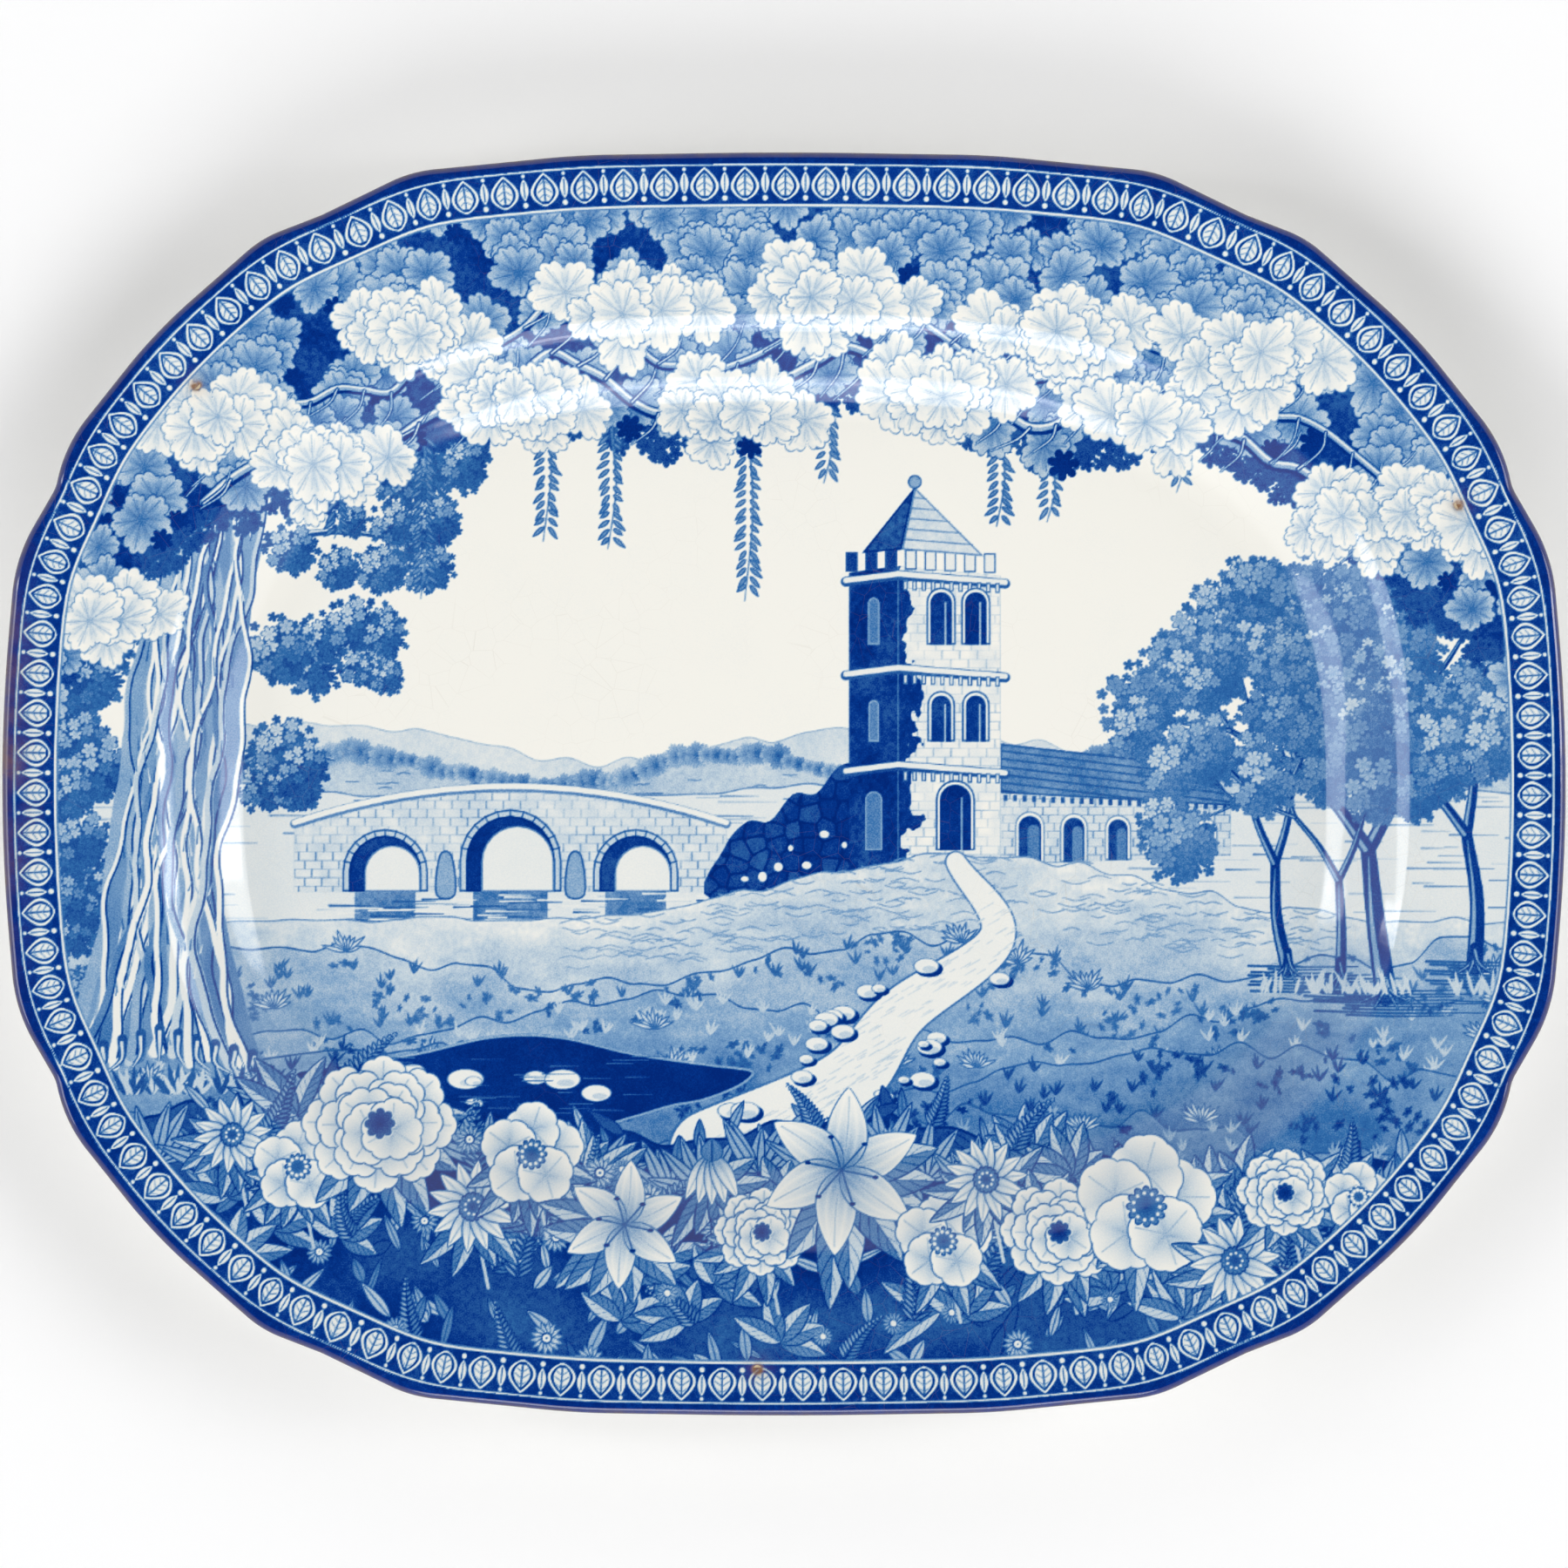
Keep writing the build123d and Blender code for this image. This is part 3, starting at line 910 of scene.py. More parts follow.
def daisy(x, y, size):
    for k in range(14):
        blade(x, y, size, size * 0.36, 360 * k / 14 + 7, petal_tone, LIGHT, DEEP)
    rosette(x, y, size * 0.3, 16, (DEEP, MID), 0.15, rim=DARK)
    for px, py, _ in around(x, y, size * 0.16, 9, 0.7):
        disc(px, py, 0.45, 0.05)


def star_lily(x, y, size):
    for k in range(6):
        blade(x, y, size, size * 0.52, 60 * k + 18, petal_tone, LIGHT, DEEP, bend=0.12)
    for px, py, _ in around(x, y, size * 0.42, 6, radians(60), radians(48)):
        stroke([(x, y), (px, py)], 0.5, DEEP, sharp=True)
        disc(px, py, 0.9, DARK, 0.6)


def bellflower(x, y, size):
    long, wide = size * 1.1, size * 0.36
    for k in (-2, -1, 0, 1, 2):
        blade(x, y + size * 0.5, long, wide, -90 + 20 * k, petal_tone, LIGHT, DEEP, bend=-0.08 * k)
    blade(x, y + size * 0.35, size * 0.5, size * 0.5, 90, MID, DARK, DEEP)


def spray(x, y, count, long, wide, lean, tone):
    """Leaves that fan out from one root."""
    for k in range(count):
        angle = lean + 150 * (k / (count - 1) - 0.5) + rng.uniform(-8, 8)
        rib = DEEP if callable(tone) else DARK
        blade(x, y, long * rng.uniform(0.75, 1.1), wide, angle, tone, rib, DARK, rng.uniform(-0.2, 0.2))


def fern(x, y, long, angle):
    """A frond with small leaflets down both sides."""
    a = radians(angle)
    bend = rng.uniform(-0.5, 0.5)
    for part in np.linspace(0.08, 1, 13):
        lean = a + bend * part
        px, py = x + long * part * cos(lean), y + long * part * sin(lean)
        for side in (-1, 1):
            slope = np.degrees(lean) + side * 52
            blade(px, py, long * 0.26 * (1.12 - part), 1.5, slope, LIGHT if side > 0 else MID, rim=DARK)


def bank_top(x):
    """The upper edge of the dark bank, higher at the left."""
    return BANK + 9 - 13 * x / FIELD_X + 6 * np.sin(x / 26) + 5 * grain(x, 0 * x, 11.0, 31)


# Each bloom: how far along the bank, how far below its top, its kind and its size.
BLOOMS = [
    (-0.76, 6, daisy, 12), (-0.67, 24, wild_rose, 13), (-0.56, 12, full_rose, 22), (-0.43, 30, daisy, 14),
    (-0.35, 10, wild_rose, 15), (-0.22, 28, star_lily, 19), (-0.10, 12, bellflower, 14),
    (-0.03, 32, full_rose, 14), (0.08, 16, star_lily, 25), (0.22, 34, wild_rose, 14), (0.28, 12, daisy, 13),
    (0.38, 28, full_rose, 17), (0.50, 12, wild_rose, 20), (0.62, 26, daisy, 14), (0.69, 8, full_rose, 14),
    (0.79, 12, wild_rose, 10),
]


def draw_bank():
    """A dark bank crowded with leaves, ferns and pale flowers, the large blooms in front."""
    def earth(x, y):
        return DEEP + 0.1 + 0.16 * grain(x, 1.6 * y, 34.0, 18) + 0.05 * grain(x, y, 1.1)

    ground(bank_top, earth, DARK, 0.8)
    for x, y in scattered(460, flat(-HALF_Y), bank_top):
        tone = rng.choice((LIGHT, MID, PALE + 0.06, DEEP))
        blade(x, y, rng.uniform(7, 14), rng.uniform(2.4, 4.4), rng.uniform(20, 160), tone, DEEP, DARK)
    for x in np.arange(-0.92, 0.94, 0.075) * FIELD_X:
        spray(x + rng.uniform(-4, 4), bank_top(x) - 16, 7, rng.uniform(15, 23), 4.6, 90, LIGHT)
    side = 0.8 * FIELD_X
    for x, y in scattered(44, flat(-FIELD_Y + 8), bank_top, -side, side):
        spray(x, y - 5, 5, rng.uniform(14, 22), 6.5, rng.uniform(50, 130), leaf_tone)
    for x, y in scattered(46, flat(-FIELD_Y - 4), bank_top, -0.82 * FIELD_X, 0.82 * FIELD_X):
        fern(x, y, rng.uniform(16, 27), rng.uniform(45, 135))
    for x, y in scattered(46, flat(-FIELD_Y), bank_top, -side, side):
        daisy(x, y - 6, rng.uniform(2.8, 5.2))
    for part, drop, bloom, size in BLOOMS:
        x = part * FIELD_X
        deepest = -FIELD_Y * (1 - np.abs(part) ** FIELD_POWER) ** (1 / FIELD_POWER) + size + 1
        y = max(deepest, bank_top(x) - drop)
        stroke([(x + 5, y - 24), (x + 2, y - 10), (x, y)], 1.1, PALE, 0.8)
        spray(x, y - 2, 7, size * 1.45, size * 0.46, rng.choice((-90, -50, -130)), leaf_tone)
        bloom(x, y, size)


# ---- The border ----

PITCH = 12.2  # from one leaf to the next
BAND_DEPTH = 15.2
LEAF_TIP, LEAF_LONG, LEAF_HALF = 4.2, 10.0, 4.3
SPEAR_TIP, SPEAR_LONG, SPEAR_HALF = 5.6, 6.6, 1.3


def draw_border():
    """A dark band with a chain of pointed leaves and beads, between white lines."""
    where, x, y = window(-PRINT_X, -PRINT_Y, PRINT_X, PRINT_Y)
    outside = near_edge(x, y, 30)
    place, depth, _ = along_line(border_path, x[outside], y[outside])
    _, edge_depth, _ = along_line(edge, x[outside], y[outside])
    length = len(border_path) * OUTLINE_STEP
    repeats = int(round(length / PITCH))
    u = (place / length * repeats) % 1 - 0.5
    u = u * length / repeats
    beside = PITCH / 2 - np.abs(u)
    tone = ink[where][outside]

    def paint(distance, value):
        tone[:] += (value - tone) * cover(distance)

    ground_tone = DEEP + 0.12 + 0.06 * grain(x[outside], y[outside], 1.2, 3)
    paint(depth - BAND_DEPTH - 1.2, MID)
    paint(depth - BAND_DEPTH - 0.7, 0.03)
    paint(depth - BAND_DEPTH, ground_tone)
    # The large leaf: white outline, blue gap and white heart with side veins.
    t = np.clip((depth - LEAF_TIP) / LEAF_LONG, 0, 1)
    half = LEAF_HALF * np.sin(pi * t**1.25) ** 0.7
    within = np.abs(depth - LEAF_TIP - LEAF_LONG / 2) - LEAF_LONG / 2
    paint(np.maximum(np.abs(u) - half, within), 0.04)
    paint(np.maximum(np.abs(u) - half + 0.95, within + 0.7), ground_tone)
    paint(np.maximum(np.abs(u) - half + 1.75, within + 1.5), 0.06)
    paint(np.maximum(np.abs(u) - 0.26, within + 1.6), DEEP)
    veins = np.abs((depth - 0.7 * np.abs(u)) % 1.9 - 0.95) - 0.2
    paint(np.maximum(np.maximum(veins, np.abs(u) - half + 2.1), within + 2.0), MID)
    # Between the leaves: a slim white spear, and a bead at each end of it.
    s = np.clip((depth - SPEAR_TIP) / SPEAR_LONG, 0, 1)
    half = SPEAR_HALF * np.sin(pi * s) ** 0.8
    within = np.abs(depth - SPEAR_TIP - SPEAR_LONG / 2) - SPEAR_LONG / 2
    paint(np.maximum(beside - half, within), 0.05)
    paint(np.maximum(beside - 0.18, within + 0.9), DEEP)
    paint(np.hypot(beside, depth - 13.4) - 0.85, 0.05)
    paint(np.hypot(beside, depth - 4.8) - 0.6, 0.05)
    paint(np.abs(depth - 3.6) - 0.28, 0.03)
    paint(depth - 3.3, ground_tone + 0.08)
    paint(edge_depth - 1.6, ground_tone + 0.12)
    ink[where][outside] = tone


draw_hills()
draw_lake()
draw_bridge()
draw_hall()
draw_ruin()
draw_tower()
draw_meadow()
draw_path()
draw_pool()
draw_right_trees()
draw_left_tree()
draw_canopy()
draw_bank()
draw_border()
np.clip(ink, 0, 1, out=ink)
# ==== End print ====


# ==== Skin: the glazed face as a smooth surface that carries the print ====

# Brown that has soaked in from the edge at the left end.
SOAKED_DEPTH, SOAKED_MIDDLE, SOAKED_HALF = 13, 10, 42
LIP_STEPS = 12
LIP_SKIRT = 0.25  # how far the lip's skin runs on down the edge


def sampled(field, x, y):
    """The print at each point, filled in between its squares."""
    u = np.clip((x - print_x[0]) / PRINT_STEP, 0, len(print_x) - 1.001)
    v = np.clip((y - print_y[0]) / PRINT_STEP, 0, len(print_y) - 1.001)
    i, j = u.astype(int), v.astype(int)
    u, v = u - i, v - j
    low = field[j, i] * (1 - u) + field[j, i + 1] * u
    high = field[j + 1, i] * (1 - u) + field[j + 1, i + 1] * u
    return low * (1 - v) + high * v


def skin_height(x, y):
    """Height of the glazed skin, with the little hollows that the kiln's spurs left in it."""
    z = face_height(x, y) + SKIN_LIFT
    for scar_x, scar_y in SPUR_SCARS:
        away = np.hypot(x - scar_x, y - scar_y)
        ball = np.sqrt(np.maximum(SCAR_BALL**2 - away**2, 0))
        z = z - np.where(away < SCAR_BALL, np.maximum(ball - SCAR_BALL + SCAR_DEPTH, 0), 0)
    return z


def stain(x, y):
    """Brown staining: round the spur scars, and soaked in from the edge at the left."""
    total = np.zeros(x.shape)
    for scar_x, scar_y in SPUR_SCARS:
        away = np.hypot(x - scar_x, y - scar_y)
        total += np.exp(-((away / 1.7) ** 4)) + 0.3 * np.exp(-((away / 4.0) ** 2))
    soaked = np.clip((-x - HALF_X + SOAKED_DEPTH) / SOAKED_DEPTH, 0, 1)
    soaked *= np.exp(-(((y - SOAKED_MIDDLE) / SOAKED_HALF) ** 2))
    return np.clip(total + 0.7 * soaked * (0.6 + 0.6 * grain(x, y, 5.0, 17)), 0, 1)


def new_mesh(name, place, quads, map_u, map_v, values, material):
    """A smooth-shaded object from arrays of points and of four-cornered faces."""
    mesh = bpy.data.meshes.new(name)
    mesh.vertices.add(len(place))
    mesh.vertices.foreach_set("co", (place * MM).astype(np.float32).ravel())
    mesh.loops.add(quads.size)
    mesh.loops.foreach_set("vertex_index", quads.astype(np.int32).ravel())
    mesh.polygons.add(len(quads))
    mesh.polygons.foreach_set("loop_start", np.arange(0, quads.size, 4, dtype=np.int32))
    mesh.update(calc_edges=True)
    layer = mesh.uv_layers.new(name="OFBake")
    corners = np.column_stack([map_u.ravel(), map_v.ravel()]).astype(np.float32)
    layer.data.foreach_set("uv", corners.ravel())
    for key, value in values.items():
        attribute = mesh.attributes.new(key, "FLOAT", "POINT")
        attribute.data.foreach_set("value", value.astype(np.float32))
    mesh.shade_smooth()
    mesh.materials.append(material)
    piece = bpy.data.objects.new(name, mesh)
    bpy.context.scene.collection.objects.link(piece)
    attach(piece, "root")
    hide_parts("face_glaze")


# A strip's or the lip's map is cut into lengths, which lie in rows above each other.
FACE_MAP_ROWS = 4
LIP_MAP_ROWS = 16
UV_GAP = 0.004  # empty border round each row


def make_face(material):
    """The face inside the lip, as strips side by side."""
    columns = int(2 * HALF_X / SKIN_STEP) + 2
    rows = int(2 * HALF_Y / SKIN_STEP) + 2
    level_x = (np.arange(columns) - columns / 2) * SKIN_STEP
    level_y = (np.arange(rows) - rows / 2) * SKIN_STEP
    x, y = np.meshgrid(level_x, level_y)
    held = np.ones(x.shape, bool)
    near = near_edge(x, y, 22)
    _, inside, _ = along_line(edge, x[near], y[near])
    held[near] = inside > SKIN_INSET
    whole = held[:-1, :-1] & held[1:, :-1] & held[:-1, 1:] & held[1:, 1:]
    # Points on the border of the kept squares are drawn out to the line where the lip begins.
    touching = np.zeros(x.shape, int)
    for dj in (0, 1):
        for di in (0, 1):
            touching[dj:rows - 1 + dj, di:columns - 1 + di] += whole
    border = (touching > 0) & (touching < 4)
    _, inside, (tx, ty) = along_line(edge, x[border], y[border])
    x[border] += ty * (inside - SKIN_INSET)
    y[border] -= tx * (inside - SKIN_INSET)
    z = skin_height(x, y)
    tone, brown = sampled(ink, x, y), stain(x, y)
    cuts = np.linspace(0, rows - 1, STRIPS + 1).astype(int)
    run = columns / FACE_MAP_ROWS
    row_height = (1 - 2 * UV_GAP * FACE_MAP_ROWS) / FACE_MAP_ROWS
    for k, (first, last) in enumerate(zip(cuts, cuts[1:])):
        j, i = np.nonzero(whole[first:last])
        j = j + first
        corner = j * columns + i
        quads = np.column_stack([corner, corner + 1, corner + columns + 1, corner + columns])
        used, quads = np.unique(quads, return_inverse=True)
        quads = quads.reshape(-1, 4)
        row = (i * FACE_MAP_ROWS // columns)[:, None]
        corner_i = i[:, None] + np.array([0, 1, 1, 0]) - row * run
        corner_j = j[:, None] + np.array([0, 0, 1, 1]) - first
        map_u = UV_GAP + (1 - 2 * UV_GAP) * corner_i / (run + 1)
        map_v = UV_GAP + row / FACE_MAP_ROWS + row_height * corner_j / (last - first)
        points = np.column_stack([x.ravel()[used], y.ravel()[used], z.ravel()[used]])
        values = {"ink": tone.ravel()[used], "stain": brown.ravel()[used], "rub": np.zeros(len(used))}
        new_mesh(f"printed_face_{k + 1}", points, quads, map_u, map_v, values, material)


def make_lip(material):
    """The half-round lip, from the face round to the middle of the edge."""
    count = len(edge)
    ahead = np.roll(edge, -1, axis=0) - np.roll(edge, 1, axis=0)
    ahead /= np.hypot(*ahead.T)[:, None]
    inwards = np.column_stack([-ahead[:, 1], ahead[:, 0]])

    def face_at(inset):
        spot = edge + inwards * inset
        return face_height(spot[:, 0], spot[:, 1])

    slope = (face_at(0.5) - face_at(LIP_ROUND + 0.5)) / LIP_ROUND
    tilt = np.arctan(slope)
    centre = face_at(LIP_ROUND) - LIP_ROUND * np.sqrt(1 + slope**2)
    insets = [np.full(count, SKIN_INSET)]
    heights = [face_at(SKIN_INSET) + SKIN_LIFT]
    rubs = [np.zeros(count)]
    for part in np.linspace(1, 0, LIP_STEPS):
        angle = (pi / 2 + tilt) * part
        insets.append(LIP_ROUND - (LIP_ROUND + SKIN_LIFT) * np.cos(angle))
        heights.append(centre + (LIP_ROUND + SKIN_LIFT) * np.sin(angle))
        rubs.append(np.full(count, np.clip(1.25 - 1.7 * part, 0, 1)))
    insets.append(insets[-1])
    heights.append(heights[-1] - LIP_SKIRT)
    rubs.append(rubs[-1])
    inset, height = np.array(insets), np.array(heights)
    across = len(inset)
    spot_x = edge[:, 0] + inwards[:, 0] * inset
    spot_y = edge[:, 1] + inwards[:, 1] * inset
    k, m = np.meshgrid(np.arange(count), np.arange(across - 1))
    k, m = k.ravel(), m.ravel()
    after = (k + 1) % count
    quads = np.column_stack([m * count + k, (m + 1) * count + k, (m + 1) * count + after, m * count + after])
    run = count / LIP_MAP_ROWS
    row = (k / run).astype(int)[:, None]
    corner_k = k[:, None] + np.array([0, 0, 1, 1]) - row * run
    corner_m = m[:, None] + np.array([0, 1, 1, 0])
    map_u = UV_GAP + (1 - 2 * UV_GAP) * corner_k / (run + 1)
    map_v = (row + 0.1 + 0.8 * corner_m / (across - 1)) / LIP_MAP_ROWS
    flat_x, flat_y = spot_x.ravel(), spot_y.ravel()
    points = np.column_stack([flat_x, flat_y, height.ravel()])
    tone, brown = sampled(ink, flat_x, flat_y), stain(flat_x, flat_y)
    values = {"ink": tone, "stain": brown, "rub": np.array(rubs).ravel()}
    new_mesh("printed_lip", points, quads, map_u, map_v, values, material)


# ==== Materials ====


def linear(red, green, blue):
    """A colour given in the usual 0 to 255, as the shader wants it."""
    parts = [c / 255 for c in (red, green, blue)]
    return tuple(c / 12.92 if c <= 0.04045 else ((c + 0.055) / 1.055) ** 2.4 for c in parts) + (1.0,)


class Nodes:
    """A short way to build a material's nodes."""

    def __init__(self, name, ior=1.5):
        self.material = bpy.data.materials.new(name)
        self.material.use_nodes = True
        self.tree = self.material.node_tree
        self.tree.nodes.clear()
        self.shader = self.tree.nodes.new("ShaderNodeBsdfPrincipled")
        self.shader.inputs["IOR"].default_value = ior
        output = self.tree.nodes.new("ShaderNodeOutputMaterial")
        self.link(self.shader.outputs["BSDF"], output.inputs["Surface"])
        self.place = self.tree.nodes.new("ShaderNodeTexCoord").outputs["Object"]

    def link(self, source, target):
        self.tree.links.new(source, target)

    def attribute(self, name):
        node = self.tree.nodes.new("ShaderNodeAttribute")
        node.attribute_name = name
        return node.outputs["Fac"]

    def noise(self, size, detail=3.0, roughness=0.5):
        """Noise with blotches of about a size in millimetres."""
        node = self.tree.nodes.new("ShaderNodeTexNoise")
        node.inputs["Scale"].default_value = 1 / (size * MM)
        node.inputs["Detail"].default_value = detail
        node.inputs["Roughness"].default_value = roughness
        self.link(self.place, node.inputs["Vector"])
        return node.outputs["Fac"]

    def cracks(self, size, width):
        """A net of fine lines, 1 on a line."""
        node = self.tree.nodes.new("ShaderNodeTexVoronoi")
        node.feature = "DISTANCE_TO_EDGE"
        node.inputs["Scale"].default_value = 1 / (size * MM)
        self.link(self.place, node.inputs["Vector"])
        return self.ranged(node.outputs["Distance"], 0, width, 1, 0)

    def maths(self, operation, first, second):
        node = self.tree.nodes.new("ShaderNodeMath")
        node.operation = operation
        for socket, value in zip(node.inputs, (first, second)):
            if isinstance(value, (int, float)):
                socket.default_value = value
            else:
                self.link(value, socket)
        return node.outputs["Value"]

    def ranged(self, value, from_low, from_high, to_low, to_high):
        node = self.tree.nodes.new("ShaderNodeMapRange")
        self.link(value, node.inputs["Value"])
        keys = ("From Min", "From Max", "To Min", "To Max")
        for key, number in zip(keys, (from_low, from_high, to_low, to_high)):
            node.inputs[key].default_value = number
        return node.outputs["Result"]

    def ramp(self, value, stops):
        node = self.tree.nodes.new("ShaderNodeValToRGB")
        elements = node.color_ramp.elements
        while len(elements) < len(stops):
            elements.new(0.5)
        for element, (position, colour) in zip(elements, stops):
            element.position = position
            element.color = colour
        self.link(value, node.inputs["Fac"])
        return node.outputs["Color"]

    def mixed(self, factor, first, second):
        node = self.tree.nodes.new("ShaderNodeMix")
        node.data_type = "RGBA"
        self.link(factor, node.inputs["Factor"])
        for key, value in (("A", first), ("B", second)):
            socket = next(s for s in node.inputs if s.name == key and s.type == "RGBA")
            if isinstance(value, tuple):
                socket.default_value = value
            else:
                self.link(value, socket)
        return next(s for s in node.outputs if s.type == "RGBA")

    def bump(self, height, distance, before=None):
        node = self.tree.nodes.new("ShaderNodeBump")
        node.inputs["Strength"].default_value = 1.0
        node.inputs["Distance"].default_value = distance * MM
        self.link(height, node.inputs["Height"])
        if before is not None:
            self.link(before, node.inputs["Normal"])
        return node.outputs["Normal"]

    def finish(self, colour, roughness, normal):
        self.link(colour, self.shader.inputs["Base Color"])
        self.link(roughness, self.shader.inputs["Roughness"])
        self.link(normal, self.shader.inputs["Normal"])
        return self.material


GLAZE_IOR, CLAY_IOR = 1.52, 1.45
CREAM = linear(243, 241, 233)
COBALT = [
    (0.0, CREAM),
    (0.2, linear(192, 208, 219)),
    (0.4, linear(124, 162, 199)),
    (0.62, linear(50, 110, 172)),
    (0.86, linear(3, 54, 140)),
    (1.0, linear(0, 38, 118)),
]


def printed_glaze():
    """Clear glaze over the cobalt print: grained ink, a little pooling, crazing and stains."""
    n = Nodes("printed_glaze_cobalt", GLAZE_IOR)
    fine = n.ranged(n.noise(0.42, 1.0), 0.25, 0.75, -0.075, 0.075)
    wiped = n.ranged(n.noise(16.0, 4.0), 0.3, 0.7, -0.05, 0.05)
    tone = n.attribute("ink")
    # Bare cream stays bare: the grain grows with the amount of ink.
    there = n.ranged(tone, 0.02, 0.3, 0.12, 1.0)
    tone = n.maths("ADD", tone, n.maths("MULTIPLY", n.maths("ADD", fine, wiped), there))
    colour = n.ramp(tone, COBALT)
    crazed = n.maths("MULTIPLY", n.cracks(7.0, 0.012), n.ranged(n.noise(60.0), 0.5, 0.65, 0, 0.16))
    colour = n.mixed(crazed, colour, linear(150, 132, 104))
    scorched = n.maths("MULTIPLY", n.attribute("stain"), n.ranged(n.noise(2.2), 0.3, 0.6, 0.5, 1.0))
    colour = n.mixed(scorched, colour, linear(132, 92, 60))
    worn = n.maths("MULTIPLY", n.attribute("rub"), n.ranged(n.noise(5.0, 5.0), 0.3, 0.7, 0.25, 0.95))
    colour = n.mixed(worn, colour, linear(100, 84, 70))
    roughness = n.ranged(n.noise(24.0), 0.3, 0.7, 0.06, 0.13)
    roughness = n.maths("ADD", roughness, n.maths("MULTIPLY", n.attribute("stain"), 0.5))
    normal = n.bump(n.noise(13.0, 2.0), 0.10)
    normal = n.bump(n.noise(1.6, 2.0), 0.006, normal)
    return n.finish(colour, roughness, normal)


def clear_glaze():
    """Clear glaze over the bare cream back, a little blue where it has pooled."""
    n = Nodes("clear_glaze_cream", GLAZE_IOR)
    pooled = n.ranged(n.noise(30.0, 4.0), 0.35, 0.7, 0, 0.5)
    colour = n.mixed(pooled, linear(240, 237, 226), linear(222, 229, 233))
    specks = n.ranged(n.noise(0.9, 0.0), 0.79, 0.83, 0, 0.55)
    colour = n.mixed(specks, colour, linear(120, 96, 70))
    crazed = n.maths("MULTIPLY", n.cracks(8.0, 0.012), n.ranged(n.noise(50.0), 0.45, 0.65, 0, 0.3))
    colour = n.mixed(crazed, colour, linear(156, 134, 102))
    normal = n.bump(n.noise(15.0, 2.0), 0.14)
    normal = n.bump(n.noise(1.8, 2.0), 0.008, normal)
    return n.finish(colour, n.ranged(n.noise(20.0), 0.3, 0.7, 0.09, 0.2), normal)


def bare_clay():
    """Fired clay with no glaze: matt, warm and a little gritty."""
    n = Nodes("bare_fired_clay", CLAY_IOR)
    colour = n.mixed(n.noise(6.0, 5.0), linear(214, 198, 168), linear(186, 162, 126))
    dirt = n.ranged(n.noise(1.4, 4.0), 0.55, 0.7, 0, 0.5)
    colour = n.mixed(dirt, colour, linear(128, 102, 74))
    normal = n.bump(n.noise(0.5, 4.0), 0.05)
    return n.finish(colour, n.ranged(n.noise(3.0), 0.3, 0.7, 0.7, 0.95), normal)


printed = printed_glaze()
make_face(printed)
make_lip(printed)
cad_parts["back_glaze"].material_slots[0].material = clear_glaze()
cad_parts["earthenware_body"].material_slots[0].material = bare_clay()


# ==== Studio: floor, lights and the camera straight above ====

FLOOR_HALF = 12.0
CAMERA_HEIGHT = 2.5
SENSOR = 36.0
SHARE_OF_FRAME = 0.998  # how much of the frame's width the platter fills
TENT_EDGE, OPENING_EDGE = 0.64, 0.80  # cosines of the angle from straight up
TENT_LIGHT, OPENING_LIGHT = 0.97, 0.02
KEY_LIGHT, KEY_LEAN, KEY_SOFTNESS = 0.77, 52, 30  # three distant lights, in W/m2 and degrees
KEY_TURNS = {"left_key": 80, "right_key": -95, "front_key": 0}
# Narrow boxes give the slope of the well its glints: place, width and height in metres, and watts.
SOFTBOXES = {
    "left_softbox": ((-1.5, 0.25, 1.15), 0.14, 0.9, 2.4),
    "right_softbox": ((1.5, 0.1, 1.15), 0.14, 0.9, 2.4),
    "front_softbox": ((0.1, -1.6, 1.0), 0.8, 0.1, 1.4),
}


def plain_floor():
    """A wide floor at the height of the platter's foot."""
    mesh = bpy.data.meshes.new("floor")
    signs = ((-1, -1), (1, -1), (1, 1), (-1, 1))
    mesh.from_pydata([(FLOOR_HALF * x, FLOOR_HALF * y, 0) for x, y in signs], [], [(0, 1, 2, 3)])
    floor = bpy.data.objects.new("floor", mesh)
    bpy.context.scene.collection.objects.link(floor)
    n = Nodes("floor_pale")
    colour = n.mixed(n.noise(400.0), linear(250, 250, 250), linear(246, 246, 247))
    roughness = n.ranged(n.noise(300.0), 0, 1, 0.85, 0.95)
    mesh.materials.append(n.finish(colour, roughness, n.bump(n.noise(3.0), 0.01)))


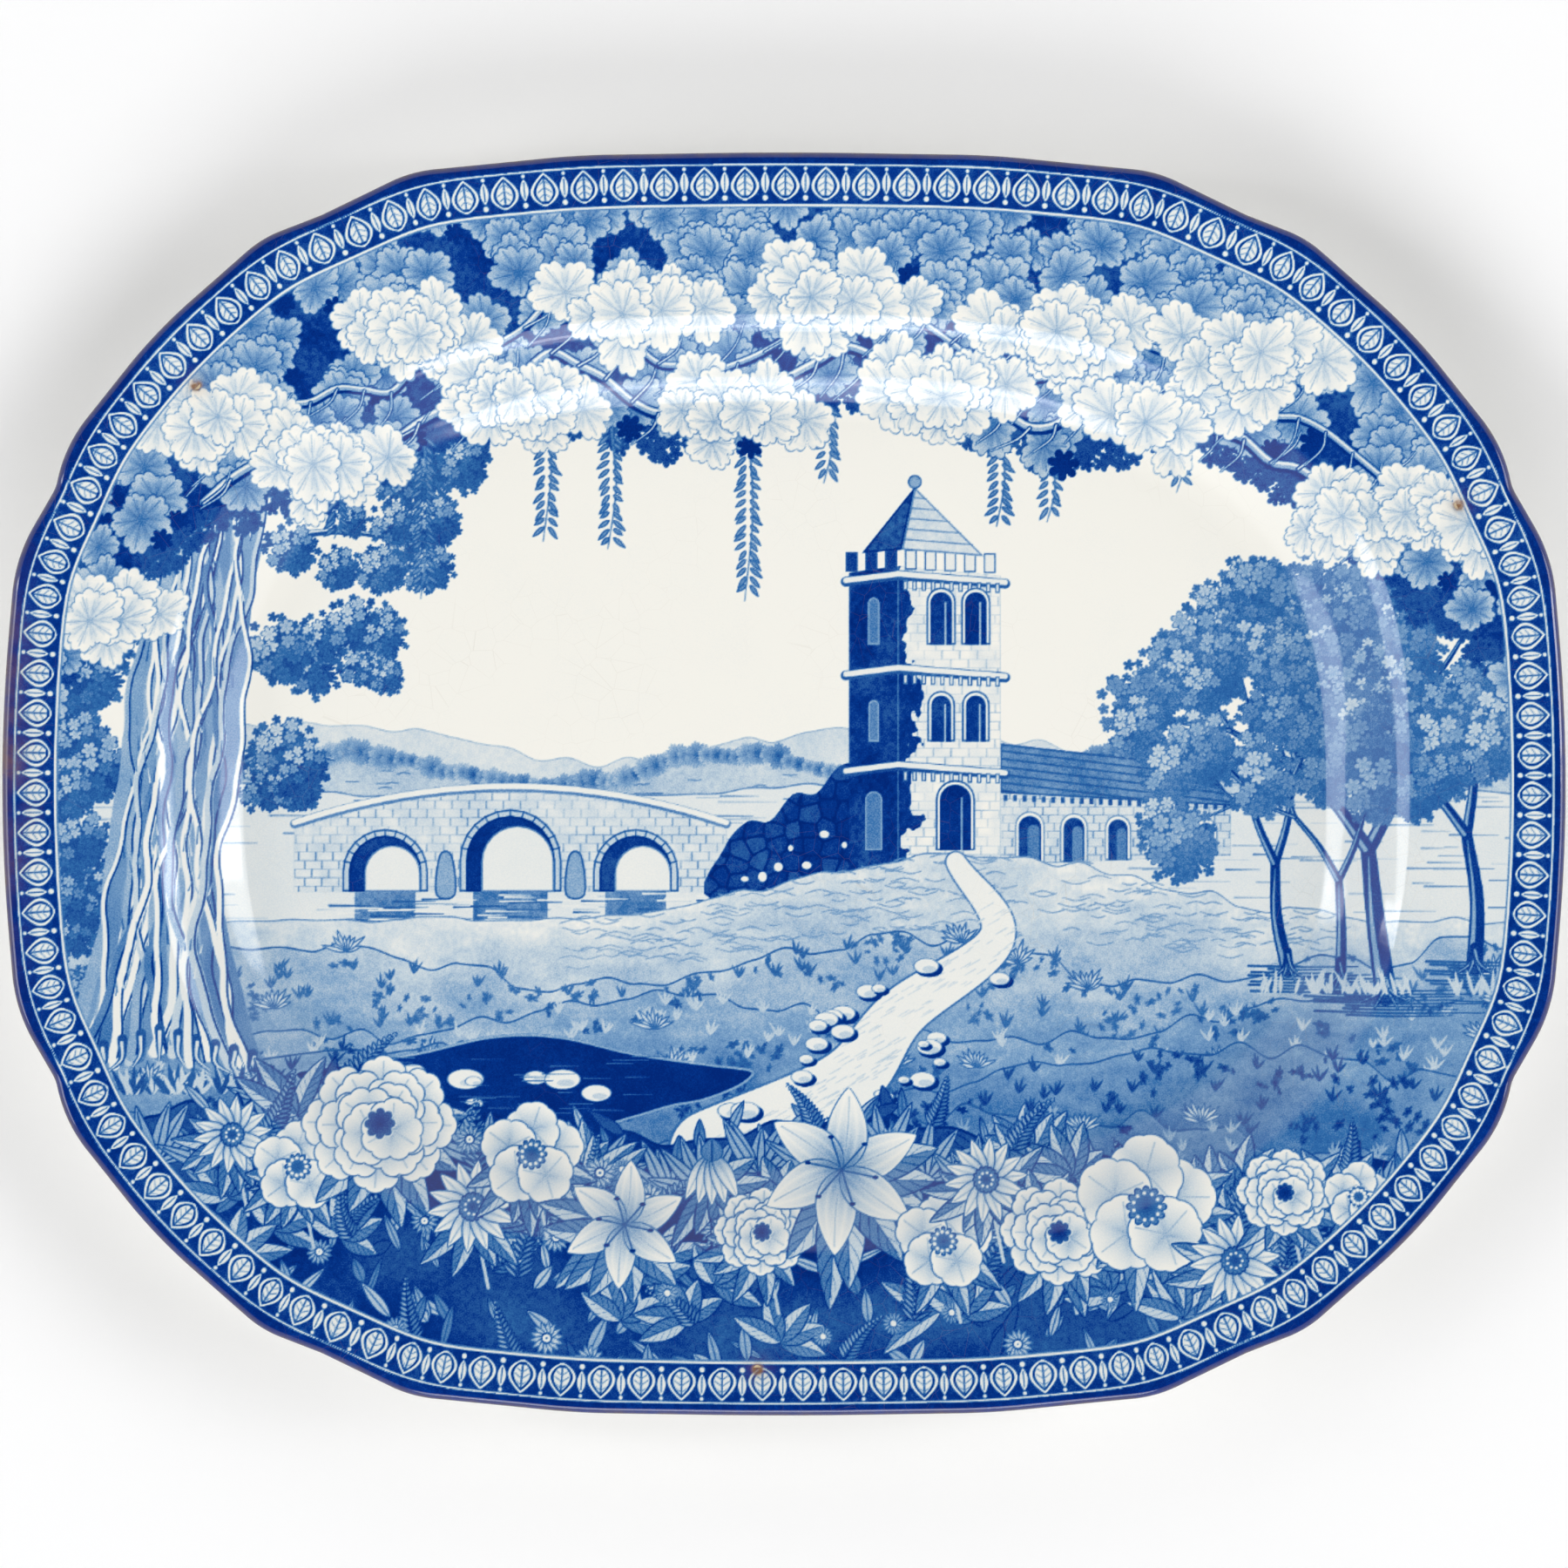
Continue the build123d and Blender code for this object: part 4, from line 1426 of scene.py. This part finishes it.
def softbox(name, place, width, height, power):
    """A rectangular light that faces the platter."""
    data = bpy.data.lights.new(name, "AREA")
    data.shape = "RECTANGLE"
    data.size, data.size_y = width, height
    data.energy = power
    lamp = bpy.data.objects.new(name, data)
    lamp.location = place
    lamp.rotation_mode = "QUATERNION"
    lamp.rotation_quaternion = (-lamp.location).to_track_quat("-Z", "Y")
    bpy.context.scene.collection.objects.link(lamp)


def studio():
    """Plain lights in a pale tent. Its dark opening overhead keeps white out of the flat glaze."""
    world = bpy.data.worlds.new("pale_tent")
    bpy.context.scene.world = world
    world.use_nodes = True
    nodes, links = world.node_tree.nodes, world.node_tree.links
    direction = nodes.new("ShaderNodeTexCoord")
    split = nodes.new("ShaderNodeSeparateXYZ")
    opening = nodes.new("ShaderNodeMapRange")
    opening.interpolation_type = "SMOOTHSTEP"
    opening.inputs["From Min"].default_value = TENT_EDGE
    opening.inputs["From Max"].default_value = OPENING_EDGE
    opening.inputs["To Min"].default_value = TENT_LIGHT
    opening.inputs["To Max"].default_value = OPENING_LIGHT
    links.new(direction.outputs["Generated"], split.inputs["Vector"])
    links.new(split.outputs["Z"], opening.inputs["Value"])
    links.new(opening.outputs["Result"], nodes["Background"].inputs["Strength"])
    nodes["Background"].inputs["Color"].default_value = (1, 1, 1, 1)
    for name, turn in KEY_TURNS.items():
        data = bpy.data.lights.new(name, "SUN")
        data.angle = radians(KEY_SOFTNESS)
        data.energy = KEY_LIGHT
        key = bpy.data.objects.new(name, data)
        key.rotation_euler = (radians(KEY_LEAN), 0, radians(-turn))
        bpy.context.scene.collection.objects.link(key)
    for name, (place, width, height, power) in SOFTBOXES.items():
        softbox(name, place, width, height, power)
    bpy.context.scene.view_settings.view_transform = "Standard"


def camera_above():
    """The camera, straight above the middle of the platter."""
    data = bpy.data.cameras.new("camera")
    data.sensor_width = SENSOR
    wide = (cad_high.x - cad_low.x) / SHARE_OF_FRAME
    data.lens = SENSOR * (CAMERA_HEIGHT - cad_high.z) / wide
    camera = bpy.data.objects.new("camera", data)
    camera.location = ((cad_low.x + cad_high.x) / 2, (cad_low.y + cad_high.y) / 2, CAMERA_HEIGHT)
    bpy.context.scene.collection.objects.link(camera)
    bpy.context.scene.camera = camera


plain_floor()
studio()
camera_above()
